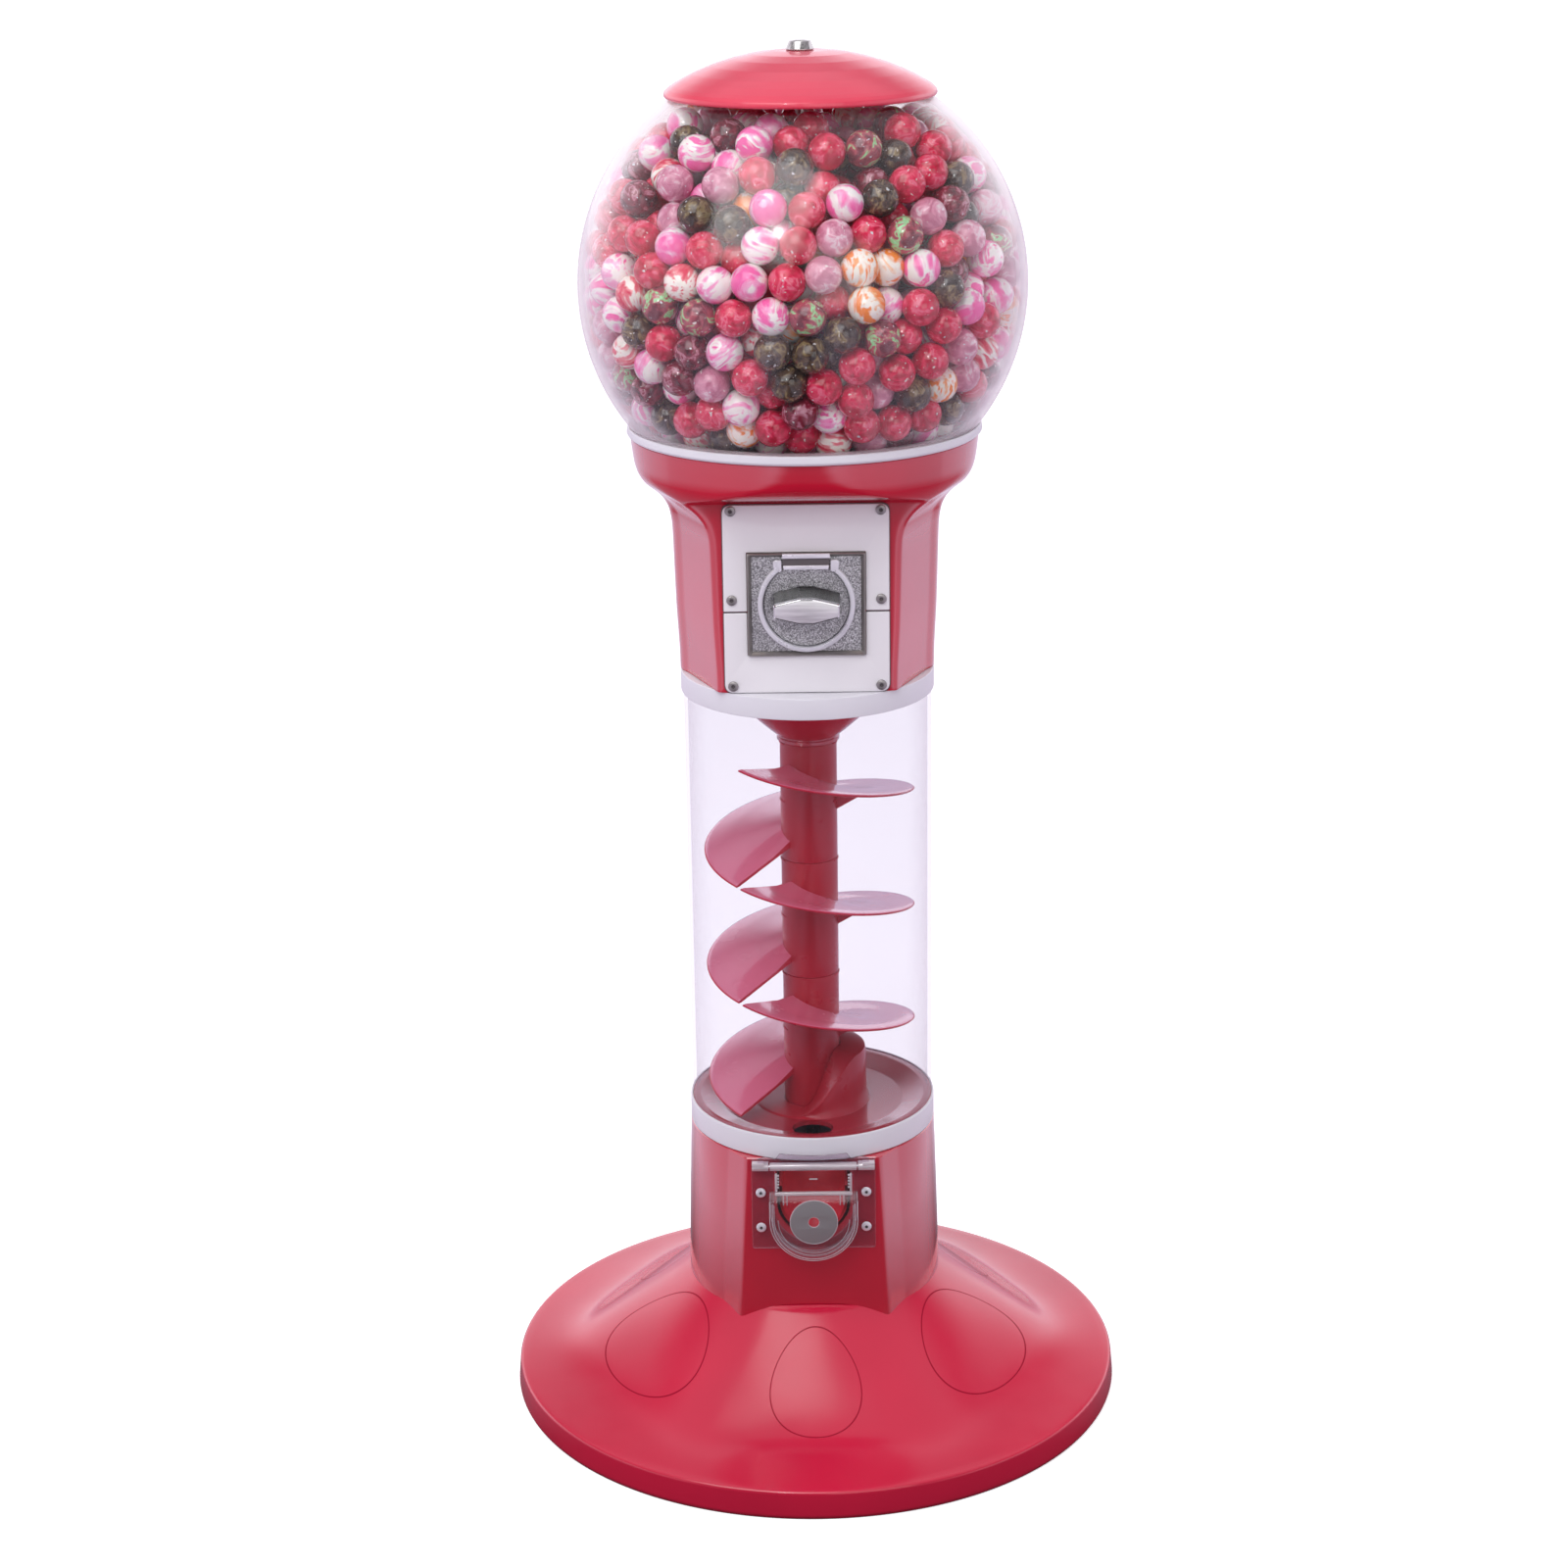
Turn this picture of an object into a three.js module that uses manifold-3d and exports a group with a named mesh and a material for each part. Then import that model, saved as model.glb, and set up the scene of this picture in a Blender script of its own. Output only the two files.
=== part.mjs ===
// Gumball machine with a spiral ramp in a clear tube. Millimetres, +Z up, front faces -Y.
// The origin is the middle of the base's foot, on the surface that the machine stands on.

import * as THREE from 'three';
import { mergeVertices } from 'three/addons/utils/BufferGeometryUtils.js';
import { ConvexGeometry } from 'three/addons/geometries/ConvexGeometry.js';
import Module from 'manifold-3d';

const wasm = await Module();
wasm.setup();

// ---- driving dimensions ----
const GAP = 0.3; // left between pieces that touch
const WALL = 3; // usual casting and moulding wall
const TURN = 2 * Math.PI;
const SEGMENTS = 28; // facets round a large ring
const BASE_SEGMENTS = 36;

const BASE_R = 243;
const BASE_LOBES = 6;
const BASE_TOP_R = 98;
const BASE_TOP_Z = 103;
const LOBE_FOOT_R = 183;
const LOBE_FOOT_Z = 27;
const LOBE_SLOPE = (BASE_TOP_Z - LOBE_FOOT_Z) / (LOBE_FOOT_R - BASE_TOP_R);

const PEDESTAL_TOP_Z = 228;
const PEDESTAL_TOP_R = 97;
const PEDESTAL_FOOT_R = 101;
const NOSE_Y = -90; // flat front panel of the pedestal
const NOSE_TOP_Z = 232;

const TUBE_R = 95;
const TUBE_WALL = 3;
const TUBE_Z = [236.3, 595];
const RING_R = 97;
const LOWER_RING_Z = [228.3, 247];
const UPPER_RING_Z = [583.3, 599.7];

const HUB_R = 22;
const FLIGHT_R = 82;
const FLIGHT_PITCH = 95;
const FLIGHT_START = -42; // degrees from the front, towards +X
const FLIGHT_DROP_OUTER = 95;
const FLIGHT_DROP_INNER = 63;
const FLIGHT_TOP_OUTER = 535.7;
const FLIGHT_TOP_INNER = 521.7;
const FLIGHT_THICK = 2.6;
const SPIRAL_TOP_Z = 540;
const FLIGHTS = 3;

const HOUSING_Z = 600;
const HOUSING_TOP_Z = 781.5;
const FACE_Y = -77; // flat front of the mechanism housing
const HOOD_Z = 750.4; // inside floor of the collar where it hangs over the flat front
const PLATE_HALF = 61;
const PLATE_Z = [600.2, 742.4];
const PLATE_SPLIT_Z = 661.8;
const WINDOW_HALF = 43.8;
const WINDOW_Z = [628.6, 707];

const SHAFT_Z = 668;
const SHAFT_R = 5;
const MODULE = 2.25; // gear size: pitch diameter over teeth
const PINION_TEETH = 8;
const IDLER_TEETH = 32;
const WHEEL_TEETH = 48;
const PINION_R = (MODULE * PINION_TEETH) / 2;
const IDLER_R = (MODULE * IDLER_TEETH) / 2;
const WHEEL_GEAR_R = (MODULE * WHEEL_TEETH) / 2;
const IDLER_Z = SHAFT_Z + PINION_R + IDLER_R;
const GEAR_Y = -WHEEL_GEAR_R;
const TOOTH_TIP = 0.75 * MODULE;
const TOOTH_ROOT = 0.95 * MODULE;

const BALL_HOLE_R = 14.5;
const DROP_R = 75; // distance of pockets and drop hole from the axis
const POCKETS = 6;
const DECK_Z = [740, 751.1];
const WHEEL_Z = [751.4, 775.4];
const WHEEL_R = 95;
const HOPPER_Z = 776.4;
const AGITATOR_Z = 783;

const GLOBE_R = 166;
const GLOBE_Z = 891;
const GLOBE_CUT_Z = [789.3, 1027];
const FILL_R = 161.5;
const LID_Z = 1027.3;
const ROD_R = 5;
const ROD_Z = [70, 1045];
const HOLE_ROD_R = 6.2;

const FLAP_PIN_Y = -96.5;
const FLAP_PIN_Z = 223.5;
const CUP_R = 34.5;
const CUP_Z = 184;
const CUP_FRONT_Y = -112;

// ---- solids ----

/** Welds a three.js geometry into a manifold solid, dropping slivers and turning faces outwards. */
function solid(geometry) {
  const bare = geometry.clone();
  bare.deleteAttribute('normal');
  bare.deleteAttribute('uv');
  const welded = mergeVertices(bare, 1e-4);
  const position = welded.attributes.position.array;
  const kept = [];
  let volume = 0;
  for (let i = 0; i < welded.index.count; i += 3) {
    const [a, b, c] = welded.index.array.slice(i, i + 3);
    if (a === b || b === c || c === a) continue;
    kept.push(a, b, c);
    const [p, q, r] = [a, b, c].map((v) => new THREE.Vector3().fromArray(position, 3 * v));
    volume += p.dot(q.cross(r));
  }
  if (volume < 0) kept.reverse();
  const mesh = { numProp: 3, vertProperties: new Float32Array(position), triVerts: new Uint32Array(kept) };
  return new wasm.Manifold(new wasm.Mesh(mesh));
}

/** A solid turned about Z from [radius, z] points in order round its section. */
function turned(points, segments = SEGMENTS) {
  const outline = points.map(([r, z]) => new THREE.Vector2(r, z));
  if (points[0][0] > 0) outline.push(outline[0].clone());
  return solid(new THREE.LatheGeometry(outline, segments).rotateX(Math.PI / 2));
}

/** A round bar between two heights. */
function bar(radius, z0, z1, segments = 16) {
  const geometry = new THREE.CylinderGeometry(radius, radius, z1 - z0, segments);
  return solid(geometry.rotateX(Math.PI / 2).translate(0, 0, (z0 + z1) / 2));
}

/** A round bar along Y at (x, z). */
function barY(radius, x, z, y0, y1, segments = 16) {
  const geometry = new THREE.CylinderGeometry(radius, radius, y1 - y0, segments);
  return solid(geometry.translate(x, (y0 + y1) / 2, z));
}

/** A round bar along X at (y, z). */
function barX(radius, y, z, x0, x1, segments = 12) {
  const geometry = new THREE.CylinderGeometry(radius, radius, x1 - x0, segments);
  return solid(geometry.rotateZ(Math.PI / 2).translate((x0 + x1) / 2, y, z));
}

/** A box from its low and high corners. */
function block([x0, x1], [y0, y1], [z0, z1]) {
  const geometry = new THREE.BoxGeometry(x1 - x0, y1 - y0, z1 - z0);
  return solid(geometry.translate((x0 + x1) / 2, (y0 + y1) / 2, (z0 + z1) / 2));
}

/** A flat outline in (x, z), extruded from y0 to y1. */
function plateY(shape, y0, y1, curveSegments = 6) {
  const geometry = new THREE.ExtrudeGeometry(shape, { depth: y1 - y0, bevelEnabled: false, curveSegments });
  return solid(geometry.rotateX(Math.PI / 2).translate(0, y1, 0));
}

/** A flat outline in (y, z), extruded from -half to +half along X. */
function plateX(points, half) {
  const shape = new THREE.Shape(points.map(([y, z]) => new THREE.Vector2(y, z)));
  const geometry = new THREE.ExtrudeGeometry(shape, { depth: 2 * half, bevelEnabled: false });
  const axes = new THREE.Matrix4().makeBasis(
    new THREE.Vector3(0, 1, 0), new THREE.Vector3(0, 0, 1), new THREE.Vector3(1, 0, 0),
  );
  return solid(geometry.applyMatrix4(axes).translate(-half, 0, 0));
}

/** A flat outline in (x, y), extruded between two heights. */
function plateZ(shape, z0, z1, curveSegments = 12) {
  const geometry = new THREE.ExtrudeGeometry(shape, { depth: z1 - z0, bevelEnabled: false, curveSegments });
  return solid(geometry.translate(0, 0, z0));
}

/** The convex solid round a list of [x, y, z] points. */
function hull(points) {
  return solid(new ConvexGeometry(points.map((p) => new THREE.Vector3(...p))));
}

/** A rectangle in (x, z), with its top and bottom corners rounded as asked. */
function roundedRectangle(half, z0, z1, topRadius, bottomRadius) {
  const shape = new THREE.Shape();
  shape.moveTo(-half, z0 + bottomRadius);
  if (bottomRadius) shape.absarc(-half + bottomRadius, z0 + bottomRadius, bottomRadius, Math.PI, 1.5 * Math.PI);
  shape.lineTo(half - bottomRadius, z0);
  if (bottomRadius) shape.absarc(half - bottomRadius, z0 + bottomRadius, bottomRadius, 1.5 * Math.PI, TURN);
  shape.lineTo(half, z1 - topRadius);
  if (topRadius) shape.absarc(half - topRadius, z1 - topRadius, topRadius, 0, 0.5 * Math.PI);
  shape.lineTo(-half + topRadius, z1);
  if (topRadius) shape.absarc(-half + topRadius, z1 - topRadius, topRadius, 0.5 * Math.PI, Math.PI);
  return shape;
}

/** A U in (x, z): straight sides down from z1 to a round bottom about (0, z0). */
function uShape(radius, z0, z1) {
  const shape = new THREE.Shape();
  shape.moveTo(radius, z1);
  shape.lineTo(-radius, z1);
  shape.lineTo(-radius, z0);
  shape.absarc(0, z0, radius, Math.PI, TURN);
  return shape;
}

/** Turns a solid back into a geometry. */
function geometryOf(body) {
  const mesh = body.getMesh();
  const geometry = new THREE.BufferGeometry();
  geometry.setAttribute('position', new THREE.BufferAttribute(new Float32Array(mesh.vertProperties), 3));
  geometry.setIndex(new THREE.BufferAttribute(new Uint32Array(mesh.triVerts), 1));
  geometry.computeVertexNormals();
  return geometry;
}

// ---- materials ----

const paint = (color, roughness) => () => new THREE.MeshStandardMaterial({ color, roughness, metalness: 0 });
const metal = (color, roughness) => () => new THREE.MeshStandardMaterial({ color, roughness, metalness: 1 });
const red = paint(0xc8283c, 0.35);
const redPlastic = paint(0xa8303c, 0.4);
const white = paint(0xdfdee4, 0.4);
const plateGrey = paint(0xd9d5dc, 0.5);
const whitePlastic = paint(0xe8e6e0, 0.5);
const steel = metal(0x9a9aa0, 0.35);
const zinc = metal(0xb0b0b4, 0.45);
const chrome = metal(0xd8d8dc, 0.15);
const candy = paint(0xe080a8, 0.4);
const clear = () => new THREE.MeshStandardMaterial({
  color: 0xe6e1ee, roughness: 0.1, metalness: 0, transparent: true, opacity: 0.35,
});

const machine = new THREE.Group();

/** Adds one named piece and returns its mesh. */
function piece(name, material, body) {
  const mesh = new THREE.Mesh(geometryOf(body), material());
  mesh.name = name;
  machine.add(mesh);
  return mesh;
}

// ---- base ----

/** How far a rounded hexagon reaches at an azimuth, as a multiple of its apothem. */
function lobeReach(azimuth) {
  const power = 20;
  let sum = 0;
  for (let i = 0; i < BASE_LOBES; i++) {
    sum += Math.max(0, Math.cos(azimuth - (i * TURN) / BASE_LOBES)) ** power;
  }
  return sum ** (-1 / power);
}

/** Pushes the flank of a turned base out into flat lobes. It is round at the top. */
function pushLobes(geometry) {
  const position = geometry.attributes.position;
  for (let i = 0; i < position.count; i++) {
    const [x, y, z] = [position.getX(i), position.getY(i), position.getZ(i)];
    const radius = Math.hypot(x, y);
    if (radius > LOBE_FOOT_R + 5) continue;
    const down = (BASE_TOP_Z - z) / (BASE_TOP_Z - LOBE_FOOT_Z);
    const lobed = THREE.MathUtils.smoothstep(down, 0.15, 0.9);
    const reach = 1 + lobed * (lobeReach(Math.atan2(x, -y)) - 1);
    position.setXY(i, x * reach, y * reach);
  }
  return geometry;
}

function baseSolid() {
  const steps = 4;
  const flank = [];
  for (let i = 0; i <= steps; i++) {
    const radius = THREE.MathUtils.lerp(LOBE_FOOT_R, BASE_TOP_R, i / steps);
    flank.push([radius, LOBE_FOOT_Z + (LOBE_FOOT_R - radius) * LOBE_SLOPE]);
  }
  const inside = flank.map(([r, z]) => [r - 4, z - 4]).reverse();
  const rim = [[228, 0], [241, 0], [BASE_R, 4], [241.5, 16], [234, 22]];
  const profile = [...rim, ...flank, [HOLE_ROD_R, BASE_TOP_Z], [HOLE_ROD_R, BASE_TOP_Z - 4], ...inside, [228, 18]];
  const outline = [...profile, profile[0]].map(([r, z]) => new THREE.Vector2(r, z));
  return solid(pushLobes(new THREE.LatheGeometry(outline, BASE_SEGMENTS).rotateX(Math.PI / 2)));
}

piece('base', red, baseSolid());
piece('rod_washer', steel, bar(13, 95.7, 98.7, 16).subtract(bar(5.4, 90, 100)));
piece('rod_nut', steel, bar(9.8, 87.4, 95.4, 6).subtract(bar(5.4, 80, 100)));
piece('center_rod', steel, bar(ROD_R, ...ROD_Z));

// ---- pedestal ----

/** The pedestal's body grown outwards by an amount: a tapered drum with a flat nose. */
function pedestalForm(grow, top) {
  const bottom = 85;
  const drum = turned([
    [0, bottom], [PEDESTAL_FOOT_R + grow, bottom], [PEDESTAL_FOOT_R - 0.6 + grow, 140],
    [PEDESTAL_TOP_R + grow, Math.min(top, PEDESTAL_TOP_Z)], [0, Math.min(top, PEDESTAL_TOP_Z)],
  ]);
  const corners = [];
  for (const side of [-1, 1]) {
    corners.push([side * (58.5 + grow), NOSE_Y - grow, bottom], [side * (73 + grow), -70 - grow, bottom]);
    corners.push([side * (52 + grow), NOSE_Y - grow, top], [side * (66 + grow), -71 - grow, top]);
    corners.push([side * 60, 0, bottom], [side * 60, 0, top]);
  }
  const ahead = block([-150, 150], [-150, NOSE_Y - grow], [0, 300]);
  return drum.subtract(ahead).add(hull(corners));
}

function pedestalSolid() {
  const reach = 150;
  const coneTop = BASE_TOP_Z + 0.4;
  const cone = turned([
    [0, coneTop], [BASE_TOP_R, coneTop], [reach, coneTop - (reach - BASE_TOP_R) * LOBE_SLOPE], [0, 50],
  ], BASE_SEGMENTS);
  const ringSeat = bar(RING_R + 0.4, PEDESTAL_TOP_Z, 240, SEGMENTS);
  const mouth = plateY(uShape(28.5, 190, 217), NOSE_Y - 5, NOSE_Y + 10);
  return pedestalForm(0, NOSE_TOP_Z)
    .subtract(pedestalForm(-WALL, PEDESTAL_TOP_Z - WALL - 1))
    .subtract(bar(80, 200, 240, SEGMENTS))
    .subtract(cone).subtract(ringSeat).subtract(mouth);
}

piece('pedestal', red, pedestalSolid());

// ---- exit chute, bracket and flap ----

function exitChute() {
  const outside = plateX([[-40, 222], [-84, 222], [-84, 164], [-40, 205]], 27);
  const inside = plateX([[-43, 230], [-92, 230], [-92, 165], [-43, 211]], 24);
  return outside.subtract(inside);
}

/** A button-head screw along Y, its head's front at y, with a socket and a short shank. */
function screw(x, z, y, head, shankEnd) {
  const segments = 8;
  const body = barY(head, x, z, y, y + 1.6, segments).add(barY(1.8, x, z, y + 1, shankEnd, segments));
  return body.subtract(barY(1.4, x, z, y - 1, y + 1, 4));
}

function chuteBracket(screwPlaces) {
  const plate = [NOSE_Y - 2.6, NOSE_Y - 0.4];
  let body = plateY(roundedRectangle(48, 152, 227.8, 1, 3), ...plate);
  for (const side of [-1, 1]) {
    const span = [side * 34.5, side * 47.5].sort((a, b) => a - b);
    body = body.add(barX(3.4, FLAP_PIN_Y, FLAP_PIN_Z, ...span));
    body = body.add(block(span, [FLAP_PIN_Y, plate[1]], [220.1, 226.9]));
    const strut = [side * 38, side * 47.5].sort((a, b) => a - b);
    body = body.add(block(strut, [-100, -93], [224, 227.7]));
  }
  body = body.add(block([-43, 43], [-100, -98.2], [227.3, 237]));
  body = body.subtract(plateY(uShape(31, 188, 219), plate[0] - 1, plate[1] + 1));
  body = body.subtract(barX(1.9, FLAP_PIN_Y, FLAP_PIN_Z, -60, 60));
  for (const [x, z] of screwPlaces) body = body.subtract(barY(2.3, x, z, -100, -80, 10));
  return body;
}

function chuteFlap() {
  const wall = 2.2;
  const top = CUP_Z + 17;
  const back = -93.2;
  const cup = plateY(uShape(CUP_R, CUP_Z, top), CUP_FRONT_Y, back, 10);
  const hollow = plateY(uShape(CUP_R - wall, CUP_Z, top - wall), CUP_FRONT_Y + wall, back + 1, 10);
  return cup.subtract(hollow)
    .add(block([-30, 30], [-98.2, -96], [top - 2, FLAP_PIN_Z]))
    .add(barX(3.2, FLAP_PIN_Y, FLAP_PIN_Z, -33.8, 33.8))
    .subtract(barX(1.9, FLAP_PIN_Y, FLAP_PIN_Z, -60, 60));
}

const bracketScrews = [[-41, 200], [41, 200], [-41, 170.5], [41, 170.5]];
piece('exit_chute', red, exitChute());
piece('chute_bracket', clear, chuteBracket(bracketScrews));
bracketScrews.forEach(([x, z], i) => piece(`bracket_screw_${i + 1}`, steel, screw(x, z, -94.5, 3.9, -90.7)));
piece('chute_flap', clear, chuteFlap());
piece('flap_pin', steel, barX(1.5, FLAP_PIN_Y, FLAP_PIN_Z, -47, 47, 10));
piece('flap_disc', steel, barY(18, 0, CUP_Z, CUP_FRONT_Y - 1.5, CUP_FRONT_Y - GAP, 20)
  .subtract(barY(4.4, 0, CUP_Z, -120, -100, 12)));

// ---- clear tube and its rings ----

piece('lower_tube_ring', white, turned([
  [80.5, LOWER_RING_Z[0]], [RING_R, LOWER_RING_Z[0]], [RING_R, LOWER_RING_Z[1]],
  [TUBE_R + GAP, LOWER_RING_Z[1]], [TUBE_R + GAP, TUBE_Z[0] - GAP], [80.5, TUBE_Z[0] - GAP],
]));
piece('clear_tube', clear, turned([
  [TUBE_R - TUBE_WALL, TUBE_Z[0]], [TUBE_R, TUBE_Z[0]], [TUBE_R, TUBE_Z[1]], [TUBE_R - TUBE_WALL, TUBE_Z[1]],
]));
piece('upper_tube_ring', white, turned([
  [TUBE_R + GAP, UPPER_RING_Z[0]], [RING_R, UPPER_RING_Z[0]], [RING_R, UPPER_RING_Z[1]],
  [93.2, UPPER_RING_Z[1]], [93.2, TUBE_Z[1] + GAP], [TUBE_R + GAP, TUBE_Z[1] + GAP],
]));

// ---- spiral ----

/** One ramp: a helical plate, banked in at its start and out at its end, with its hub. */
function spiralSection(index) {
  const steps = 30;
  const open = 1.5; // degrees left free at each end
  const sunk = 2; // how far the ramp goes into its hub
  const corners = [];
  for (let i = 0; i <= steps; i++) {
    const along = open + ((360 - 2 * open) * i) / steps;
    const azimuth = THREE.MathUtils.degToRad(FLIGHT_START + along);
    const outer = FLIGHT_TOP_OUTER - index * FLIGHT_PITCH - (FLIGHT_DROP_OUTER * along) / 360;
    const inner = FLIGHT_TOP_INNER - index * FLIGHT_PITCH - (FLIGHT_DROP_INNER * along) / 360;
    for (const [radius, top] of [[HUB_R - sunk, inner], [FLIGHT_R, outer]]) {
      for (const z of [top, top - FLIGHT_THICK]) {
        corners.push(radius * Math.sin(azimuth), -radius * Math.cos(azimuth), z);
      }
    }
  }
  const ring = [0, 2, 3, 1]; // inner top, outer top, outer bottom, inner bottom
  const faces = [0, 2, 3, 0, 3, 1];
  for (let i = 0; i < steps; i++) {
    for (let k = 0; k < 4; k++) {
      const [a, b] = [4 * i + ring[k], 4 * i + ring[(k + 1) % 4]];
      faces.push(a, b + 4, b, a, a + 4, b + 4);
    }
  }
  faces.push(...[0, 3, 2, 0, 1, 3].map((corner) => corner + 4 * steps));
  const plate = new THREE.BufferGeometry();
  plate.setAttribute('position', new THREE.Float32BufferAttribute(corners, 3));
  plate.setIndex(faces);
  const top = SPIRAL_TOP_Z - index * FLIGHT_PITCH;
  const last = index === FLIGHTS - 1;
  const bottom = last ? 240.4 : top - FLIGHT_PITCH + GAP;
  return bar(HUB_R, bottom, top).add(solid(plate)).subtract(bar(HUB_R - 4, bottom - 9, top + 9, 12));
}

/** The tube's floor: a shallow dish with a deflector drum, higher on its right, and the exit hole. */
function spiralFloor() {
  const [low, high] = [256, 286];
  const floor = turned([
    [HOLE_ROD_R, 236.3], [91.7, 236.3], [91.7, 243.2], [70, 240.8], [43, 240.1], [HOLE_ROD_R, 240.1],
  ]);
  const drum = turned([[HUB_R + 0.6, 239], [43, 239], [43, low], [HUB_R + 0.6, low]]);
  const raised = turned([[HUB_R + 0.6, 239], [43, 239], [43, high - 3], [40, high], [HUB_R + 0.6, high]]);
  const side = new THREE.Shape();
  side.moveTo(0, 0);
  side.absarc(0, 0, 60, -1.9, 1.4); // from the front, past the right, to the back
  return floor.add(drum).add(raised.intersect(plateZ(side, 238, 300)))
    .subtract(bar(16, 230, 260, 20).translate([0, -62, 0]));
}

function spiralCeiling() {
  const radius = TUBE_R - TUBE_WALL - GAP;
  const funnel = turned([
    [HOLE_ROD_R, 540.4], [24, 540.4], [24, 547], [35, 560], [61, 584.3], [radius, 584.3],
    [radius, 599], [58, 599], [57, 588], [20, 549], [HOLE_ROD_R, 545],
  ]);
  return funnel.subtract(bar(BALL_HOLE_R, 580, 610, 20).translate([DROP_R, 0, 0]));
}

piece('spiral_floor', redPlastic, spiralFloor());
for (let i = 0; i < FLIGHTS; i++) piece(`spiral_section_${i + 1}`, redPlastic, spiralSection(i));
piece('spiral_ceiling', redPlastic, spiralCeiling());

// ---- mechanism housing ----

const housingProfile = [
  [97, 600], [97.2, 615], [99, 650], [100, 690], [102, 718], [107, 731], [120, 744], [127, 756], [130, 770],
  [131, HOUSING_TOP_Z],
];

function housingSolid() {
  const outside = turned([[0, HOUSING_Z], ...housingProfile, [0, HOUSING_TOP_Z]]);
  const inner = housingProfile.map(([r, z]) => [r - WALL, z]);
  const inside = turned([[0, 590], [94, 590], ...inner, [128, 790], [0, 790]]);
  const frontCut = plateX([
    [FACE_Y, 590], [FACE_Y, PLATE_Z[1] + 1], [-88, HOOD_Z - 3.4], [-150, HOOD_Z - 0.4], [-150, 590],
  ], 150);
  const face = block([-66, 66], [FACE_Y, -55], [HOUSING_Z, PLATE_Z[1] + 1]);
  const room = inside.subtract(block([-150, 150], [-150, FACE_Y + WALL], [580, HOOD_Z]));
  const window = block([-WINDOW_HALF, WINDOW_HALF], [-90, -60], WINDOW_Z);
  return outside.subtract(frontCut).add(face).subtract(room).subtract(window);
}

function frontPlate(z0, z1, topRadius, bottomRadius, screwPlaces) {
  let body = plateY(roundedRectangle(PLATE_HALF, z0, z1, topRadius, bottomRadius), FACE_Y - 2.8, FACE_Y - GAP);
  body = body.subtract(block([-WINDOW_HALF, WINDOW_HALF], [-90, -60], WINDOW_Z));
  for (const [x, z] of screwPlaces) body = body.subtract(barY(2.3, x, z, -90, -60, 10));
  return body;
}

const upperScrews = [[-55, 738.2], [55, 738.2], [-55, 671.2], [55, 671.2]];
const lowerScrews = [[-55, 605.5], [55, 605.5]];
piece('mechanism_housing', red, housingSolid());
piece('upper_front_plate', plateGrey, frontPlate(PLATE_SPLIT_Z + 0.2, PLATE_Z[1], 7, 0, upperScrews));
piece('lower_front_plate', plateGrey, frontPlate(PLATE_Z[0], PLATE_SPLIT_Z - 0.2, 0, 7, lowerScrews));
[...upperScrews, ...lowerScrews].forEach(([x, z], i) => {
  piece(`plate_screw_${i + 1}`, steel, screw(x, z, FACE_Y - 4.7, 3.85, FACE_Y - 0.5));
});

// ---- coin mechanism ----

const mechZ = [WINDOW_Z[0] + GAP, WINDOW_Z[1] - GAP];
const mechHalf = WINDOW_HALF - GAP;
const frameWidth = 2.6;

function coinBezel() {
  const outside = block([-mechHalf, mechHalf], [-83, -74.5], mechZ);
  const half = mechHalf - frameWidth;
  return outside.subtract(block([-half, half], [-90, -60], [mechZ[0] + frameWidth, mechZ[1] - frameWidth]));
}

function mechPlate() {
  const half = mechHalf - frameWidth - GAP;
  const z = [mechZ[0] + frameWidth + GAP, mechZ[1] - frameWidth - GAP];
  return block([-half, half], [-79.5, -74.5], z).subtract(barY(5.6, 0, SHAFT_Z, -90, -60));
}

function mechanismBody() {
  return block([-38, 38], [-74.2, -62], [634, 700])
    .add(block([-14, 14], [FACE_Y + WALL + GAP, -62], [690, IDLER_Z + 9]))
    .subtract(barY(5.6, 0, SHAFT_Z, -90, -40));
}

const slotHalf = 17.5;
const slotZ = [695.2, 707];

function escutcheon() {
  const ring = barY(36, 0, SHAFT_Z, -84, -79.8, 24).subtract(barY(31.9, 0, SHAFT_Z, -90, -70, 24));
  return ring.subtract(block([-slotHalf - GAP, slotHalf + GAP], [-90, -70], [slotZ[0] - GAP, 720]));
}

function coinSlotBlock() {
  const housing = block([-slotHalf, slotHalf], [-86.6, -83.3], slotZ);
  const coinHalf = 15;
  const slotTop = slotZ[1] - 3.6;
  return housing.subtract(block([-coinHalf, coinHalf], [-90, -84], [slotZ[0] + 3, slotTop]));
}

/** The grip: a long bar with a pointed middle, wider at its foot than at its face. */
function handleSolid() {
  const corners = [];
  for (const [y, length, waist, tip] of [[-82.3, 24.8, 14, 8.8], [-101, 24.6, 9.2, 6], [-104, 23.3, 8.2, 4.8]]) {
    for (const side of [-1, 1]) {
      for (const up of [-1, 1]) {
        corners.push([side * length, y, SHAFT_Z + up * tip]);
        corners.push([side * length * 0.45, y, SHAFT_Z + up * waist]);
      }
    }
  }
  return hull(corners);
}

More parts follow.
